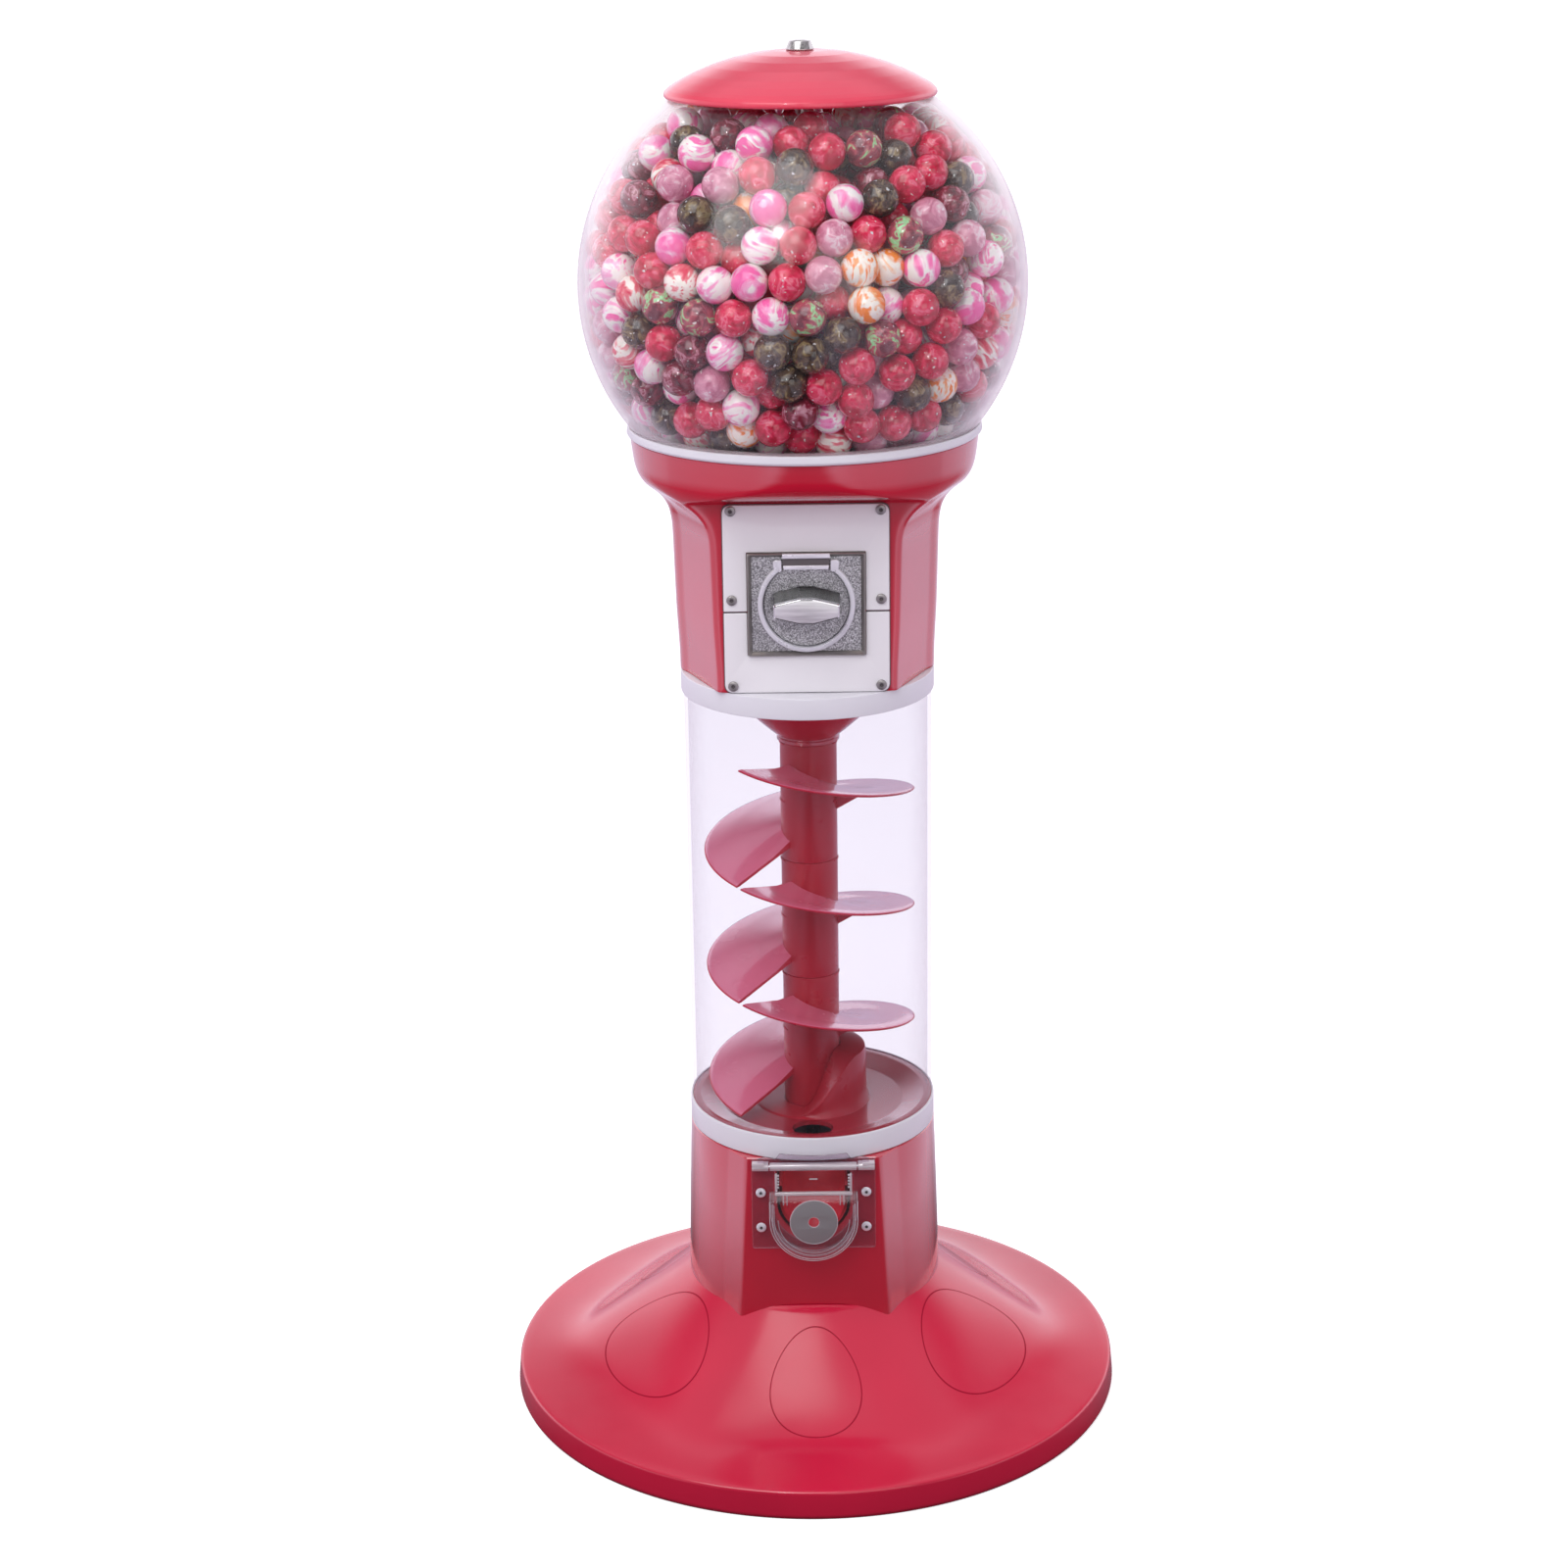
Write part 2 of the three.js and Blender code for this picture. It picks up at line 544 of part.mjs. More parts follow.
/** A spur gear about (0, z), turned by a phase in pitches, its teeth straight-sided. */
function spurGear(teeth, z, y0, y1, bore, phase) {
  const pitchR = (MODULE * teeth) / 2;
  const pitch = TURN / teeth;
  const shape = new THREE.Shape();
  for (let i = 0; i < teeth; i++) {
    const middle = (i + phase) * pitch + Math.PI / 2;
    const rootHalf = 0.24 * pitch;
    const tipHalf = 0.1 * pitch;
    for (const [radius, offset] of [
      [pitchR - TOOTH_ROOT, -rootHalf], [pitchR + TOOTH_TIP, -tipHalf],
      [pitchR + TOOTH_TIP, tipHalf], [pitchR - TOOTH_ROOT, rootHalf],
    ]) {
      const angle = middle + offset;
      const [x, up] = [radius * Math.cos(angle), radius * Math.sin(angle)];
      if (i === 0 && offset === -rootHalf) shape.moveTo(x, up);
      else shape.lineTo(x, up);
    }
  }
  return plateY(shape, y0, y1).translate([0, 0, z]).subtract(barY(bore, 0, z, y0 - 1, y1 + 1));
}

function ratchetWheel() {
  const teeth = 10;
  const [root, tip] = [11, 14];
  const shape = new THREE.Shape();
  for (let i = 0; i < teeth; i++) {
    const angle = (i * TURN) / teeth;
    shape[i ? 'lineTo' : 'moveTo'](tip * Math.cos(angle), tip * Math.sin(angle));
    const next = angle + (0.9 * TURN) / teeth;
    shape.lineTo(root * Math.cos(next), root * Math.sin(next));
  }
  return plateY(shape, -61.6, -58.4).translate([0, 0, SHAFT_Z]).subtract(barY(5.3, 0, SHAFT_Z, -70, -50));
}

const pawlX = 26;

/** The pawl: an eye round its pin and a finger that rides just clear of the ratchet's teeth. */
function pawlSolid() {
  const tip = [pawlX - 9.5, SHAFT_Z + 3];
  const eye = barY(5, pawlX, SHAFT_Z, -61.4, -58.6, 12);
  const finger = hull([-61.4, -58.6].flatMap((y) => [
    [pawlX, y, SHAFT_Z + 4.5], [pawlX, y, SHAFT_Z - 3.5], [tip[0], y, tip[1] + 1.5], [tip[0], y, tip[1] - 1],
  ]));
  return eye.add(finger).subtract(barY(2.9, pawlX, SHAFT_Z, -70, -50, 12));
}

piece('coin_bezel', zinc, coinBezel());
piece('coin_mech_plate', zinc, mechPlate());
piece('mechanism_body', zinc, mechanismBody());
piece('escutcheon_ring', chrome, escutcheon());
piece('coin_slot_block', chrome, coinSlotBlock());
piece('dial', zinc, barY(31.5, 0, SHAFT_Z, -82, -79.8, 24));
piece('handle', chrome, handleSolid());
piece('handle_shaft', steel, barY(SHAFT_R, 0, SHAFT_Z, -79.5, -48));
piece('ratchet_wheel', steel, ratchetWheel());
piece('drive_pinion', steel, spurGear(PINION_TEETH, SHAFT_Z, GEAR_Y - 3.5, GEAR_Y + 3.5, 5.3, 0));
piece('pawl', steel, pawlSolid());
piece('pawl_pin', steel, barY(2.5, pawlX, SHAFT_Z, -61.7, -57.5, 12));
piece('idler_gear', whitePlastic, spurGear(IDLER_TEETH, IDLER_Z, GEAR_Y - 3, GEAR_Y + 3, 4.4, 0.5));
piece('idler_axle', steel, barY(4, 0, IDLER_Z, -61.7, -49, 16));

function coinBin() {
  const outside = block([-45, 45], [-70, -14], [599.4, 628]);
  return outside.subtract(block([-43, 43], [-68, -16], [601.4, 640]));
}

piece('coin_bin', zinc, coinBin());

// ---- dispensing wheel ----

function wheelDeck() {
  const radius = 103;
  const [low, high] = DECK_Z;
  const floor = low + 5;
  const deck = turned([
    [HOLE_ROD_R, low], [radius, low], [radius, high], [59.4, high], [59.4, floor], [48.5, floor], [48.5, high],
    [HOLE_ROD_R, high],
  ]);
  return deck
    .subtract(block([-30, 30], [-59.4, -48.5], [low - 1, high + 1]))
    .subtract(block([-110, 110], [-110, FACE_Y + WALL + 2 * GAP], [low - 1, high + 1]))
    .subtract(bar(BALL_HOLE_R, low - 1, high + 1, 20).translate([DROP_R, 0, 0]));
}

/** The wheel: six ball pockets, a hub, and a ring of gear teeth on its underside. */
function gumballWheel() {
  const [low, high] = WHEEL_Z;
  let body = bar(WHEEL_R, low, high, SEGMENTS).add(bar(12, low + 1, AGITATOR_Z - GAP, 16));
  for (let i = 0; i < POCKETS; i++) {
    const angle = (i * TURN) / POCKETS;
    body = body.subtract(
      bar(BALL_HOLE_R + 1, low - 1, high + 1, 12).translate([DROP_R * Math.cos(angle), DROP_R * Math.sin(angle), 0]),
    );
  }
  const pitchZ = IDLER_Z + IDLER_R;
  for (let i = 0; i < WHEEL_TEETH; i++) {
    const tooth = hull([-3, 3].flatMap((out) => {
      const grow = (WHEEL_GEAR_R + out) / WHEEL_GEAR_R;
      const y = -WHEEL_GEAR_R - out;
      return [-1, 1].flatMap((side) => [
        [side * 1.7 * grow, y, low + 0.5], [side * 0.7 * grow, y, pitchZ - TOOTH_TIP],
      ]);
    }));
    body = body.add(tooth.rotate([0, 0, (i * 360) / WHEEL_TEETH]));
  }
  return body.subtract(bar(5.5, low - 9, AGITATOR_Z + 9));
}

function agitator() {
  let body = bar(11, AGITATOR_Z, AGITATOR_Z + 15, 16);
  for (let i = 0; i < 3; i++) {
    body = body.add(block([5, 29], [-2.5, 2.5], [AGITATOR_Z + 5, AGITATOR_Z + 13]).rotate([0, 0, 120 * i]));
  }
  return body.subtract(bar(5.5, AGITATOR_Z - 9, AGITATOR_Z + 20));
}

function hopperPlate() {
  const plate = turned([
    [12.8, HOPPER_Z], [126.5, HOPPER_Z], [126.5, HOPPER_Z + WALL], [12.8, HOPPER_Z + WALL],
  ]);
  const slot = new THREE.Shape();
  slot.absarc(0, 0, 92, 1.1, TURN - 1.1, false);
  slot.absarc(0, 0, 58, TURN - 1.1, 1.1, true);
  return plate.subtract(plateZ(slot, HOPPER_Z - 5, HOPPER_Z + 5));
}

piece('drop_tube', whitePlastic, bar(16.5, 599.4, DECK_Z[0] - GAP, 16).subtract(bar(BALL_HOLE_R, 590, 760, 16))
  .translate([DROP_R, 0, 0]));
piece('wheel_deck', zinc, wheelDeck());
piece('gumball_wheel', whitePlastic, gumballWheel());
piece('agitator', whitePlastic, agitator());
piece('hopper_plate', zinc, hopperPlate());

// ---- globe, gumballs and lid ----

/** Points on a sphere's section about the globe's centre, between two heights. */
function globeArc(radius, z0, z1, steps) {
  const points = [];
  const [a, b] = [Math.asin((z0 - GLOBE_Z) / radius), Math.asin((z1 - GLOBE_Z) / radius)];
  for (let i = 0; i <= steps; i++) {
    const angle = THREE.MathUtils.lerp(a, b, i / steps);
    points.push([radius * Math.cos(angle), GLOBE_Z + radius * Math.sin(angle)]);
  }
  return points;
}

piece('globe_ring', white, turned([
  [120.5, HOUSING_TOP_Z + GAP], [131.5, HOUSING_TOP_Z + GAP], [133, 783.5], [132, 789], [120.5, 789],
]));
piece('globe', clear, turned([
  ...globeArc(GLOBE_R, ...GLOBE_CUT_Z, 7), ...globeArc(GLOBE_R - WALL, ...GLOBE_CUT_Z, 7).reverse(),
]));
piece('gumballs', candy, turned([
  [HOLE_ROD_R, 804], [32, 804], [32, 779.8], [119.8, 779.8], [119.8, 790],
  ...globeArc(FILL_R, 790, 1022, 7), [HOLE_ROD_R, 1022],
]));
piece('lid', red, turned([
  [89, LID_Z], [98.4, LID_Z], [99.4, 1029.6], [94, 1035.7], [78, 1044.2], [50, 1054.3], [28, 1058.8],
  [8.4, 1059.8], [8.4, 1056.4], [35, 1054.2], [70, 1043.9], [89, 1034],
]));
piece('lock_body', chrome, turned([[5.4, 1046], [8, 1046], [8, 1060.1], [10.2, 1060.1], [7.7, 1066.2], [5.4, 1066.2]], 16));
piece('lock_plug', chrome, bar(5, 1047, 1065.6).subtract(block([-0.7, 0.7], [-2.6, 2.6], [1061, 1067])));

export default machine;
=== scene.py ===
"""Gumball machine with a spiral ramp: the visible surfaces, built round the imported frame.

Shapes are worked out in millimetres in the frame's axes (+Z up, front faces -Y) and made in metres.
"""

import math

import bmesh
import bpy
import numpy as np
from mathutils import Matrix, Vector


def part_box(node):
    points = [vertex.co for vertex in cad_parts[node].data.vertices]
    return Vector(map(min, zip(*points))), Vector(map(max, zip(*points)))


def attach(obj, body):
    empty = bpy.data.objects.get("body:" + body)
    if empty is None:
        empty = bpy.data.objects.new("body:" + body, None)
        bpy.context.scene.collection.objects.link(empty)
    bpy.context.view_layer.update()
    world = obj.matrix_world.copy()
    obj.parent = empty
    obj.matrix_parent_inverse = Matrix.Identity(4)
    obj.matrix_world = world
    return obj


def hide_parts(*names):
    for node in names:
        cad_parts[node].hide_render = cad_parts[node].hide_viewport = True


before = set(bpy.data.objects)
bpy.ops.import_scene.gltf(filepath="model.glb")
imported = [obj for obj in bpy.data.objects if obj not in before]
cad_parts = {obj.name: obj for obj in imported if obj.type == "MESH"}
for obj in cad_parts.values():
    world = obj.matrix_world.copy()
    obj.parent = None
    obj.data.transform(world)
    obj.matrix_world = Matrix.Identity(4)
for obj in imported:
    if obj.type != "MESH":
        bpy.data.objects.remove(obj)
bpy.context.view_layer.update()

MM = 0.001
TURN = 2 * math.pi


def low(node):
    """A node's lowest corner, in millimetres."""
    return np.array(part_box(node)[0]) / MM


def high(node):
    """A node's highest corner, in millimetres."""
    return np.array(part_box(node)[1]) / MM


# ---------------------------------------------------------------- mesh helpers

def link(name, data):
    """A new object in the scene."""
    obj = bpy.data.objects.new(name, data)
    bpy.context.scene.collection.objects.link(obj)
    return obj


def smooth(mesh, sharp):
    """Smooth shading but for edges sharper than an angle in degrees."""
    mesh.shade_smooth()
    mesh.set_sharp_from_angle(angle=math.radians(sharp))


def weld(mesh, distance):
    """Joins points that lie together and turns the faces outwards."""
    edit = bmesh.new()
    edit.from_mesh(mesh)
    bmesh.ops.remove_doubles(edit, verts=edit.verts, dist=distance)
    bmesh.ops.recalc_face_normals(edit, faces=edit.faces)
    edit.to_mesh(mesh)
    edit.free()


def evaluated(obj):
    """A new mesh of what an object's curve or modifiers come to."""
    bpy.context.view_layer.update()
    return bpy.data.meshes.new_from_object(obj.evaluated_get(bpy.context.evaluated_depsgraph_get()))


def make(name, verts, faces, sharp=35):
    """An object from millimetre points."""
    mesh = bpy.data.meshes.new(name)
    mesh.from_pydata((np.asarray(verts, float) * MM).tolist(), [], [list(map(int, f)) for f in faces])
    weld(mesh, 1e-7)
    smooth(mesh, sharp)
    return link(name, mesh)


def loft(name, rings, around=True, along=False, caps=False, sharp=35):
    """A skin through rings of equal length, closed around each ring and, if asked, along them."""
    rings = [np.asarray(r, float) for r in rings]
    n, m = len(rings[0]), len(rings)
    faces = []
    for i in range(m if along else m - 1):
        a, b = i * n, ((i + 1) % m) * n
        for j in range(n if around else n - 1):
            k = (j + 1) % n
            faces.append((a + j, a + k, b + k, b + j))
    if caps:
        faces += [tuple(range(n)), tuple((m - 1) * n + j for j in range(n))]
    return make(name, np.concatenate(rings), faces, sharp)


def around_z(radius, angles, z):
    """A ring about Z that starts in front. radius and z are one number or one for each angle."""
    return np.column_stack([radius * np.sin(angles), -radius * np.cos(angles), z + 0 * angles])


def around_y(x, z, radius, angles, y):
    """A ring about a line along Y."""
    return np.column_stack([x + radius * np.cos(angles), y + 0 * angles, z + radius * np.sin(angles)])


def full_turn(count, start=0.0):
    return np.linspace(start, start + TURN, count, endpoint=False)


def rounded(points, radius, steps=4, closed=True):
    """A 2-D outline with its corners rounded. radius is one number or one for each corner."""
    straight = 1.55     # half the corner's angle, in radians, past which it is left alone
    points = [np.array(p, float) for p in points]
    radii = radius if isinstance(radius, (list, tuple)) else [radius] * len(points)
    out = []
    for i, p in enumerate(points):
        if not closed and i in (0, len(points) - 1):
            out.append(p)
            continue
        before, after = points[i - 1] - p, points[(i + 1) % len(points)] - p
        la, lb = np.linalg.norm(before), np.linalg.norm(after)
        before, after = before / la, after / lb
        half = 0.5 * math.acos(max(-1, min(1, float(before @ after))))
        if radii[i] <= 0 or half > straight:
            out.append(p)
            continue
        reach = min(radii[i] / math.tan(half), 0.48 * la, 0.48 * lb)
        for t in np.linspace(0, 1, steps + 1):
            out.append(p + before * reach * (1 - t) ** 2 + after * reach * t ** 2)
    return out


def lathe(name, profile, segments=128, sharp=35, closed=True):
    """A surface turned about Z from (radius, z) points."""
    angles = full_turn(segments)
    return loft(name, [around_z(r, angles, z) for r, z in profile], along=closed, sharp=sharp)


def slab(name, outline, y0, y1, bevel, holes=()):
    """A flat plate facing -Y from an (x, z) outline, its edges rounded."""
    curve = bpy.data.curves.new(name, "CURVE")
    curve.dimensions = "2D"
    curve.fill_mode = "BOTH"
    for points in [outline, *holes]:
        spline = curve.splines.new("POLY")
        spline.points.add(len(points) - 1)
        for point, (x, z) in zip(spline.points, points):
            point.co = (x * MM, z * MM, 0, 1)
        spline.use_cyclic_u = True
    curve.extrude = ((y1 - y0) / 2 - bevel) * MM
    curve.bevel_depth = bevel * MM
    curve.bevel_resolution = 2
    curve.offset = -bevel * MM
    holder = link(name, curve)
    mesh = evaluated(holder)
    bpy.data.objects.remove(holder)
    mesh.transform(Matrix.Translation((0, (y0 + y1) / 2 * MM, 0)) @ Matrix.Rotation(math.pi / 2, 4, "X"))
    weld(mesh, 1e-6)
    mesh.materials.clear()
    smooth(mesh, 40)
    return link(name, mesh)


def circle(radius, x=0.0, z=0.0, count=48, start=0.0, closed=True):
    """(x, z) points of a circle, or from start round to a whole turn."""
    angles = np.linspace(start, TURN, count, endpoint=not closed)
    return [(x + radius * math.cos(a), z + radius * math.sin(a)) for a in angles]


def lower_half(radius, z, count):
    return circle(radius, 0, z, count, math.pi, False)


def box(name, x, y, z, bevel=0.4):
    """A block with rounded edges from its x, y and z spans."""
    edit = bmesh.new()
    bmesh.ops.create_cube(edit, size=1)
    for v in edit.verts:
        v.co = [((a + b) / 2 + c * (b - a)) * MM for (a, b), c in zip((x, y, z), v.co)]
    bmesh.ops.bevel(edit, geom=list(edit.edges), offset=bevel * MM, segments=3, affect="EDGES", profile=0.5)
    mesh = bpy.data.meshes.new(name)
    edit.to_mesh(mesh)
    edit.free()
    smooth(mesh, 40)
    return link(name, mesh)


def rod_x(name, radius, y, z, x0, x1, bore=0.0):
    """A round bar along X with rounded ends, bored if asked."""
    edge = min(0.5, (x1 - x0) / 6)
    if bore:
        section = rounded([(bore, x0), (radius, x0), (radius, x1), (bore, x1)], edge, 2)
    else:
        section = [(0.01, x0)] + rounded([(0.01, x0), (radius, x0), (radius, x1), (0.01, x1)], edge, 3, False)[1:]
    angles = full_turn(32)
    rings = [np.column_stack([h + 0 * angles, y + r * np.cos(angles), z + r * np.sin(angles)])
             for r, h in section]
    return loft(name, rings, along=bool(bore), caps=not bore)


def bead(name, points, radius=0.4):
    """A thin tube along a line of points, laid on the edges of clear parts to carry painted highlight lines and
    painted dark edge lines.
    """
    points = [np.array(p, float) for p in points]
    rings = []
    for i, p in enumerate(points):
        ahead = points[min(i + 1, len(points) - 1)] - points[max(i - 1, 0)]
        ahead = ahead / np.linalg.norm(ahead)
        across = np.cross(ahead, (0.0, 1.0, 0.0))
        if np.linalg.norm(across) < 1e-3:
            across = np.array((1.0, 0.0, 0.0))
        across = across / np.linalg.norm(across)
        other = np.cross(ahead, across)
        rings.append([p + radius * (math.cos(a) * across + math.sin(a) * other) for a in full_turn(6)])
    return loft(name, rings, caps=True, sharp=60)


def join(name, parts):
    """Several objects as one, keeping their material slots."""
    for part in parts:
        part.select_set(True)
    with bpy.context.temp_override(active_object=parts[0], selected_editable_objects=parts, selected_objects=parts):
        bpy.ops.object.join()
    parts[0].name = name
    parts[0].data.name = name
    return parts[0]


def cut(obj, tool):
    """Cuts a closed tool out of an object."""
    step = obj.modifiers.new("cut", "BOOLEAN")
    step.object = tool
    step.operation = "DIFFERENCE"
    step.solver = "EXACT"
    mesh = evaluated(obj)
    obj.modifiers.clear()
    obj.data = mesh
    mesh.name = obj.name
    bpy.data.objects.remove(tool)
    smooth(mesh, 35)
    return obj


def paint(obj, *keys):
    """Gives an object its materials, by their keys."""
    obj.data.materials.clear()
    for key in keys:
        obj.data.materials.append(MATERIALS[key])
    return obj


def place(obj, body, slot, key, *nodes):
    """Gives a piece its material, the body it rides on and the nodes it stands for."""
    if key:
        paint(obj, key)
    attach(obj, body)
    if nodes:
        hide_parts(*nodes)


# ---------------------------------------------------------------- materials

class Number:
    """A number that nodes work out, so that a formula in nodes reads as one."""

    def __init__(self, nodes, socket):
        self.nodes, self.socket = nodes, socket

    def calc(self, operation, *others):
        return self.nodes.calc(operation, self, *others)

    def __add__(self, other):
        return self.calc("ADD", other)

    def __sub__(self, other):
        return self.calc("SUBTRACT", other)

    def __rsub__(self, other):
        return self.nodes.calc("SUBTRACT", other, self)

    def __mul__(self, other):
        return self.calc("MULTIPLY", other)

    def __truediv__(self, other):
        return self.calc("DIVIDE", other)


class Nodes:
    """The node tree of a new material, or of a world, with short calls."""

    def __init__(self, name, world=None):
        self.material = world or bpy.data.materials.new(name)
        self.material.use_nodes = True
        self.tree = self.material.node_tree
        self.shader = self.tree.nodes.get("Principled BSDF")
        self.coords = self.tree.nodes.new("ShaderNodeTexCoord")

    def node(self, kind, **values):
        made = self.tree.nodes.new(kind)
        for key, value in values.items():
            if hasattr(made, key):
                setattr(made, key, value)
            else:
                made.inputs[key.replace("_", " ")].default_value = value
        return made

    def link(self, source, target):
        """Joins an output to a socket, or to the shader's socket of that name."""
        source = source.socket if isinstance(source, Number) else source
        self.tree.links.new(source, self.shader.inputs[target] if isinstance(target, str) else target)

    def xyz(self, source):
        """The three parts of a vector, by their names."""
        parts = self.node("ShaderNodeSeparateXYZ")
        self.link(source, parts.inputs[0])
        return {axis: Number(self, parts.outputs[axis]) for axis in "XYZ"}

    def noise(self, scale, detail=3.0, roughness=0.5, distortion=0.0, stretch=None):
        made = self.node("ShaderNodeTexNoise", Scale=scale, Detail=detail, Roughness=roughness, Distortion=distortion)
        place_at = self.coords.outputs["Object"]
        if stretch:
            mapping = self.node("ShaderNodeMapping", Scale=stretch)
            self.link(place_at, mapping.inputs["Vector"])
            place_at = mapping.outputs["Vector"]
        self.link(place_at, made.inputs["Vector"])
        return made.outputs["Fac"]

    def ramp(self, source, *stops):
        """A colour from a number, through (number, colour) stops."""
        made = self.node("ShaderNodeValToRGB")
        elements = made.color_ramp.elements
        while len(elements) < len(stops):
            elements.new(0.5)
        for element, (at, colour) in zip(elements, stops):
            element.position = at
            element.color = (*colour, 1)
        self.link(source, made.inputs["Fac"])
        return made.outputs["Color"]

    def spread(self, source, to_low, to_high, from_low=0.3, from_high=0.7, kind="LINEAR"):
        """One range of numbers laid over another."""
        made = self.node("ShaderNodeMapRange", interpolation_type=kind, From_Min=from_low, From_Max=from_high,
                         To_Min=to_low, To_Max=to_high)
        self.link(source, made.inputs["Value"])
        return Number(self, made.outputs["Result"])

    def calc(self, operation, *values):
        made = self.node("ShaderNodeMath", operation=operation)
        for socket, value in zip(made.inputs, values):
            if isinstance(value, (int, float)):
                socket.default_value = value
            else:
                self.link(value, socket)
        return Number(self, made.outputs[0])

    def mix(self, factor, first, second):
        """Two colours mixed, the first where factor is 0."""
        made = self.node("ShaderNodeMix", data_type="RGBA")
        for value, socket in ((factor, made.inputs["Factor"]), (first, made.inputs[6]), (second, made.inputs[7])):
            if isinstance(value, tuple):
                socket.default_value = (*value, 1)
            else:
                self.link(value, socket)
        return made.outputs[2]

    def layer(self, factor, first, second):
        """Two shaders mixed, the first where factor is 0."""
        made = self.node("ShaderNodeMixShader")
        for value, socket in zip((factor, first.outputs[0], second.outputs[0]), made.inputs):
            self.link(value, socket)
        return made

    def bump(self, source, strength, distance):
        made = self.node("ShaderNodeBump", Strength=strength, Distance=distance)
        self.link(source, made.inputs["Height"])
        self.link(made.outputs["Normal"], "Normal")

    def uneven(self, noise, roughness, share_low, share_high, target="Roughness"):
        """A roughness that wanders about its middle."""
        self.link(self.spread(noise, roughness * share_low, roughness * share_high), target)

    def mottle(self, noise, colour, darker, lighter):
        return self.ramp(noise, (0.3, tint(colour, darker)), (0.7, tint(colour, lighter)))

    def set(self, **values):
        for key, value in values.items():
            self.shader.inputs[key.replace("_", " ")].default_value = value


def tint(colour, factor):
    return tuple(min(1.0, c * factor) for c in colour)


def moulded(name, colour, roughness, coat=0.0, metallic=0.0, peel=(260, 0.012, 0.0004), vary=0.08, extra=None,
            dull_below=False):
    """A moulded or painted surface: faint mottling, uneven gloss and a fine orange peel.

    dull_below takes the gloss off what faces down and forwards, where the sprayed coat is thin.
    """
    m = Nodes(name)
    extra = extra or {}
    m.link(m.mottle(m.noise(9, 4), colour, 1 - vary, 1 + vary), "Base Color")
    m.uneven(m.noise(40, 5), roughness, 0.85, 1.2)
    scale, strength, distance = peel
    m.bump(m.noise(scale, 2), strength, distance)
    m.set(Metallic=metallic, Coat_Weight=coat, Coat_Roughness=0.08, **extra)
    if dull_below:
        normal = m.xyz(m.node("ShaderNodeNewGeometry").outputs["Normal"])
        down = m.spread(normal["Z"], 1.0, 0.0, -0.3, -0.1)
        ahead = m.spread(normal["Y"], 1.0, 0.0, -0.45, -0.2)
        gloss = 1.0 - down * ahead * 0.9
        m.link(gloss * coat, "Coat Weight")
        m.link(gloss * extra["Specular_IOR_Level"], "Specular IOR Level")
    return m.material


def pebbled(name, colour, roughness):
    """Die-cast zinc with a pebbled grain of about a millimetre."""
    m = Nodes(name)
    grain = m.noise(1150, 2.0, 0.55)
    m.link(m.ramp(grain, (0.36, tint(colour, 0.5)), (0.5, colour), (0.64, tint(colour, 1.8))), "Base Color")
    m.uneven(m.noise(60, 4), roughness, 0.8, 1.3)
    m.bump(grain, 0.7, 0.0006)
    m.set(Metallic=0.85)
    return m.material


def brushed(name, colour, roughness, stretch):
    """Metal with fine lines along one axis."""
    m = Nodes(name)
    lines = m.noise(500, 3, 0.6, stretch=stretch)
    m.link(m.mottle(lines, colour, 0.82, 1.12), "Base Color")
    m.uneven(lines, roughness, 0.8, 1.3)
    m.bump(lines, 0.25, 0.0002)
    m.set(Metallic=1.0)
    return m.material


def see_through(name, through, edge_colour, face, edge, roughness=0.1, gloss=0.06, bend=(0.2, 1.0)):
    """Clear plastic: tints what is behind it, mirrors lamps softly and turns into an opaque lit layer of its edge
    colour where it turns away, a painted reflection at grazing angles.
    """
    m = Nodes(name)
    m.link(m.mottle(m.noise(12, 3), edge_colour, 0.96, 1.03), "Base Color")
    m.uneven(m.noise(30, 3), roughness, 0.8, 1.25)
    clear, mirror = m.node("ShaderNodeBsdfTransparent"), m.node("ShaderNodeBsdfGlossy")
    m.link(m.mottle(m.noise(7, 2), through, 0.995, 1.0), clear.inputs["Color"])
    m.uneven(m.noise(22, 3), roughness, 0.9, 1.2, mirror.inputs["Roughness"])
    facing = m.node("ShaderNodeLayerWeight", Blend=0.4).outputs["Facing"]
    glossed = m.layer(m.spread(facing, gloss, gloss * 3, 0.3, 1.0), clear, mirror)
    # painted reflection: the lit edge-colour layer grows towards the outline
    edge_reflection_layer = m.layer(m.spread(facing, face, edge, *bend), glossed, m.shader)
    m.link(edge_reflection_layer.outputs[0], m.tree.nodes["Material Output"].inputs["Surface"])
    m.bump(m.noise(18, 2), 0.03, 0.002)
    return m.material


def swirled(name, first, second, third):
    """A candy shell in two colours with torn edges between them."""
    m = Nodes(name)
    cells = m.noise(28, 3.5, 0.62, 1.6)
    m.link(m.ramp(cells, (0.40, first), (0.47, second), (0.50, third), (0.56, third), (0.60, first)), "Base Color")
    m.link(m.spread(m.noise(200, 3), 0.12, 0.3), "Roughness")
    m.bump(m.noise(400, 2), 0.05, 0.0004)
    m.set(Coat_Weight=0.6, Coat_Roughness=0.05, Subsurface_Weight=0.12, Subsurface_Scale=0.004)
    return m.material


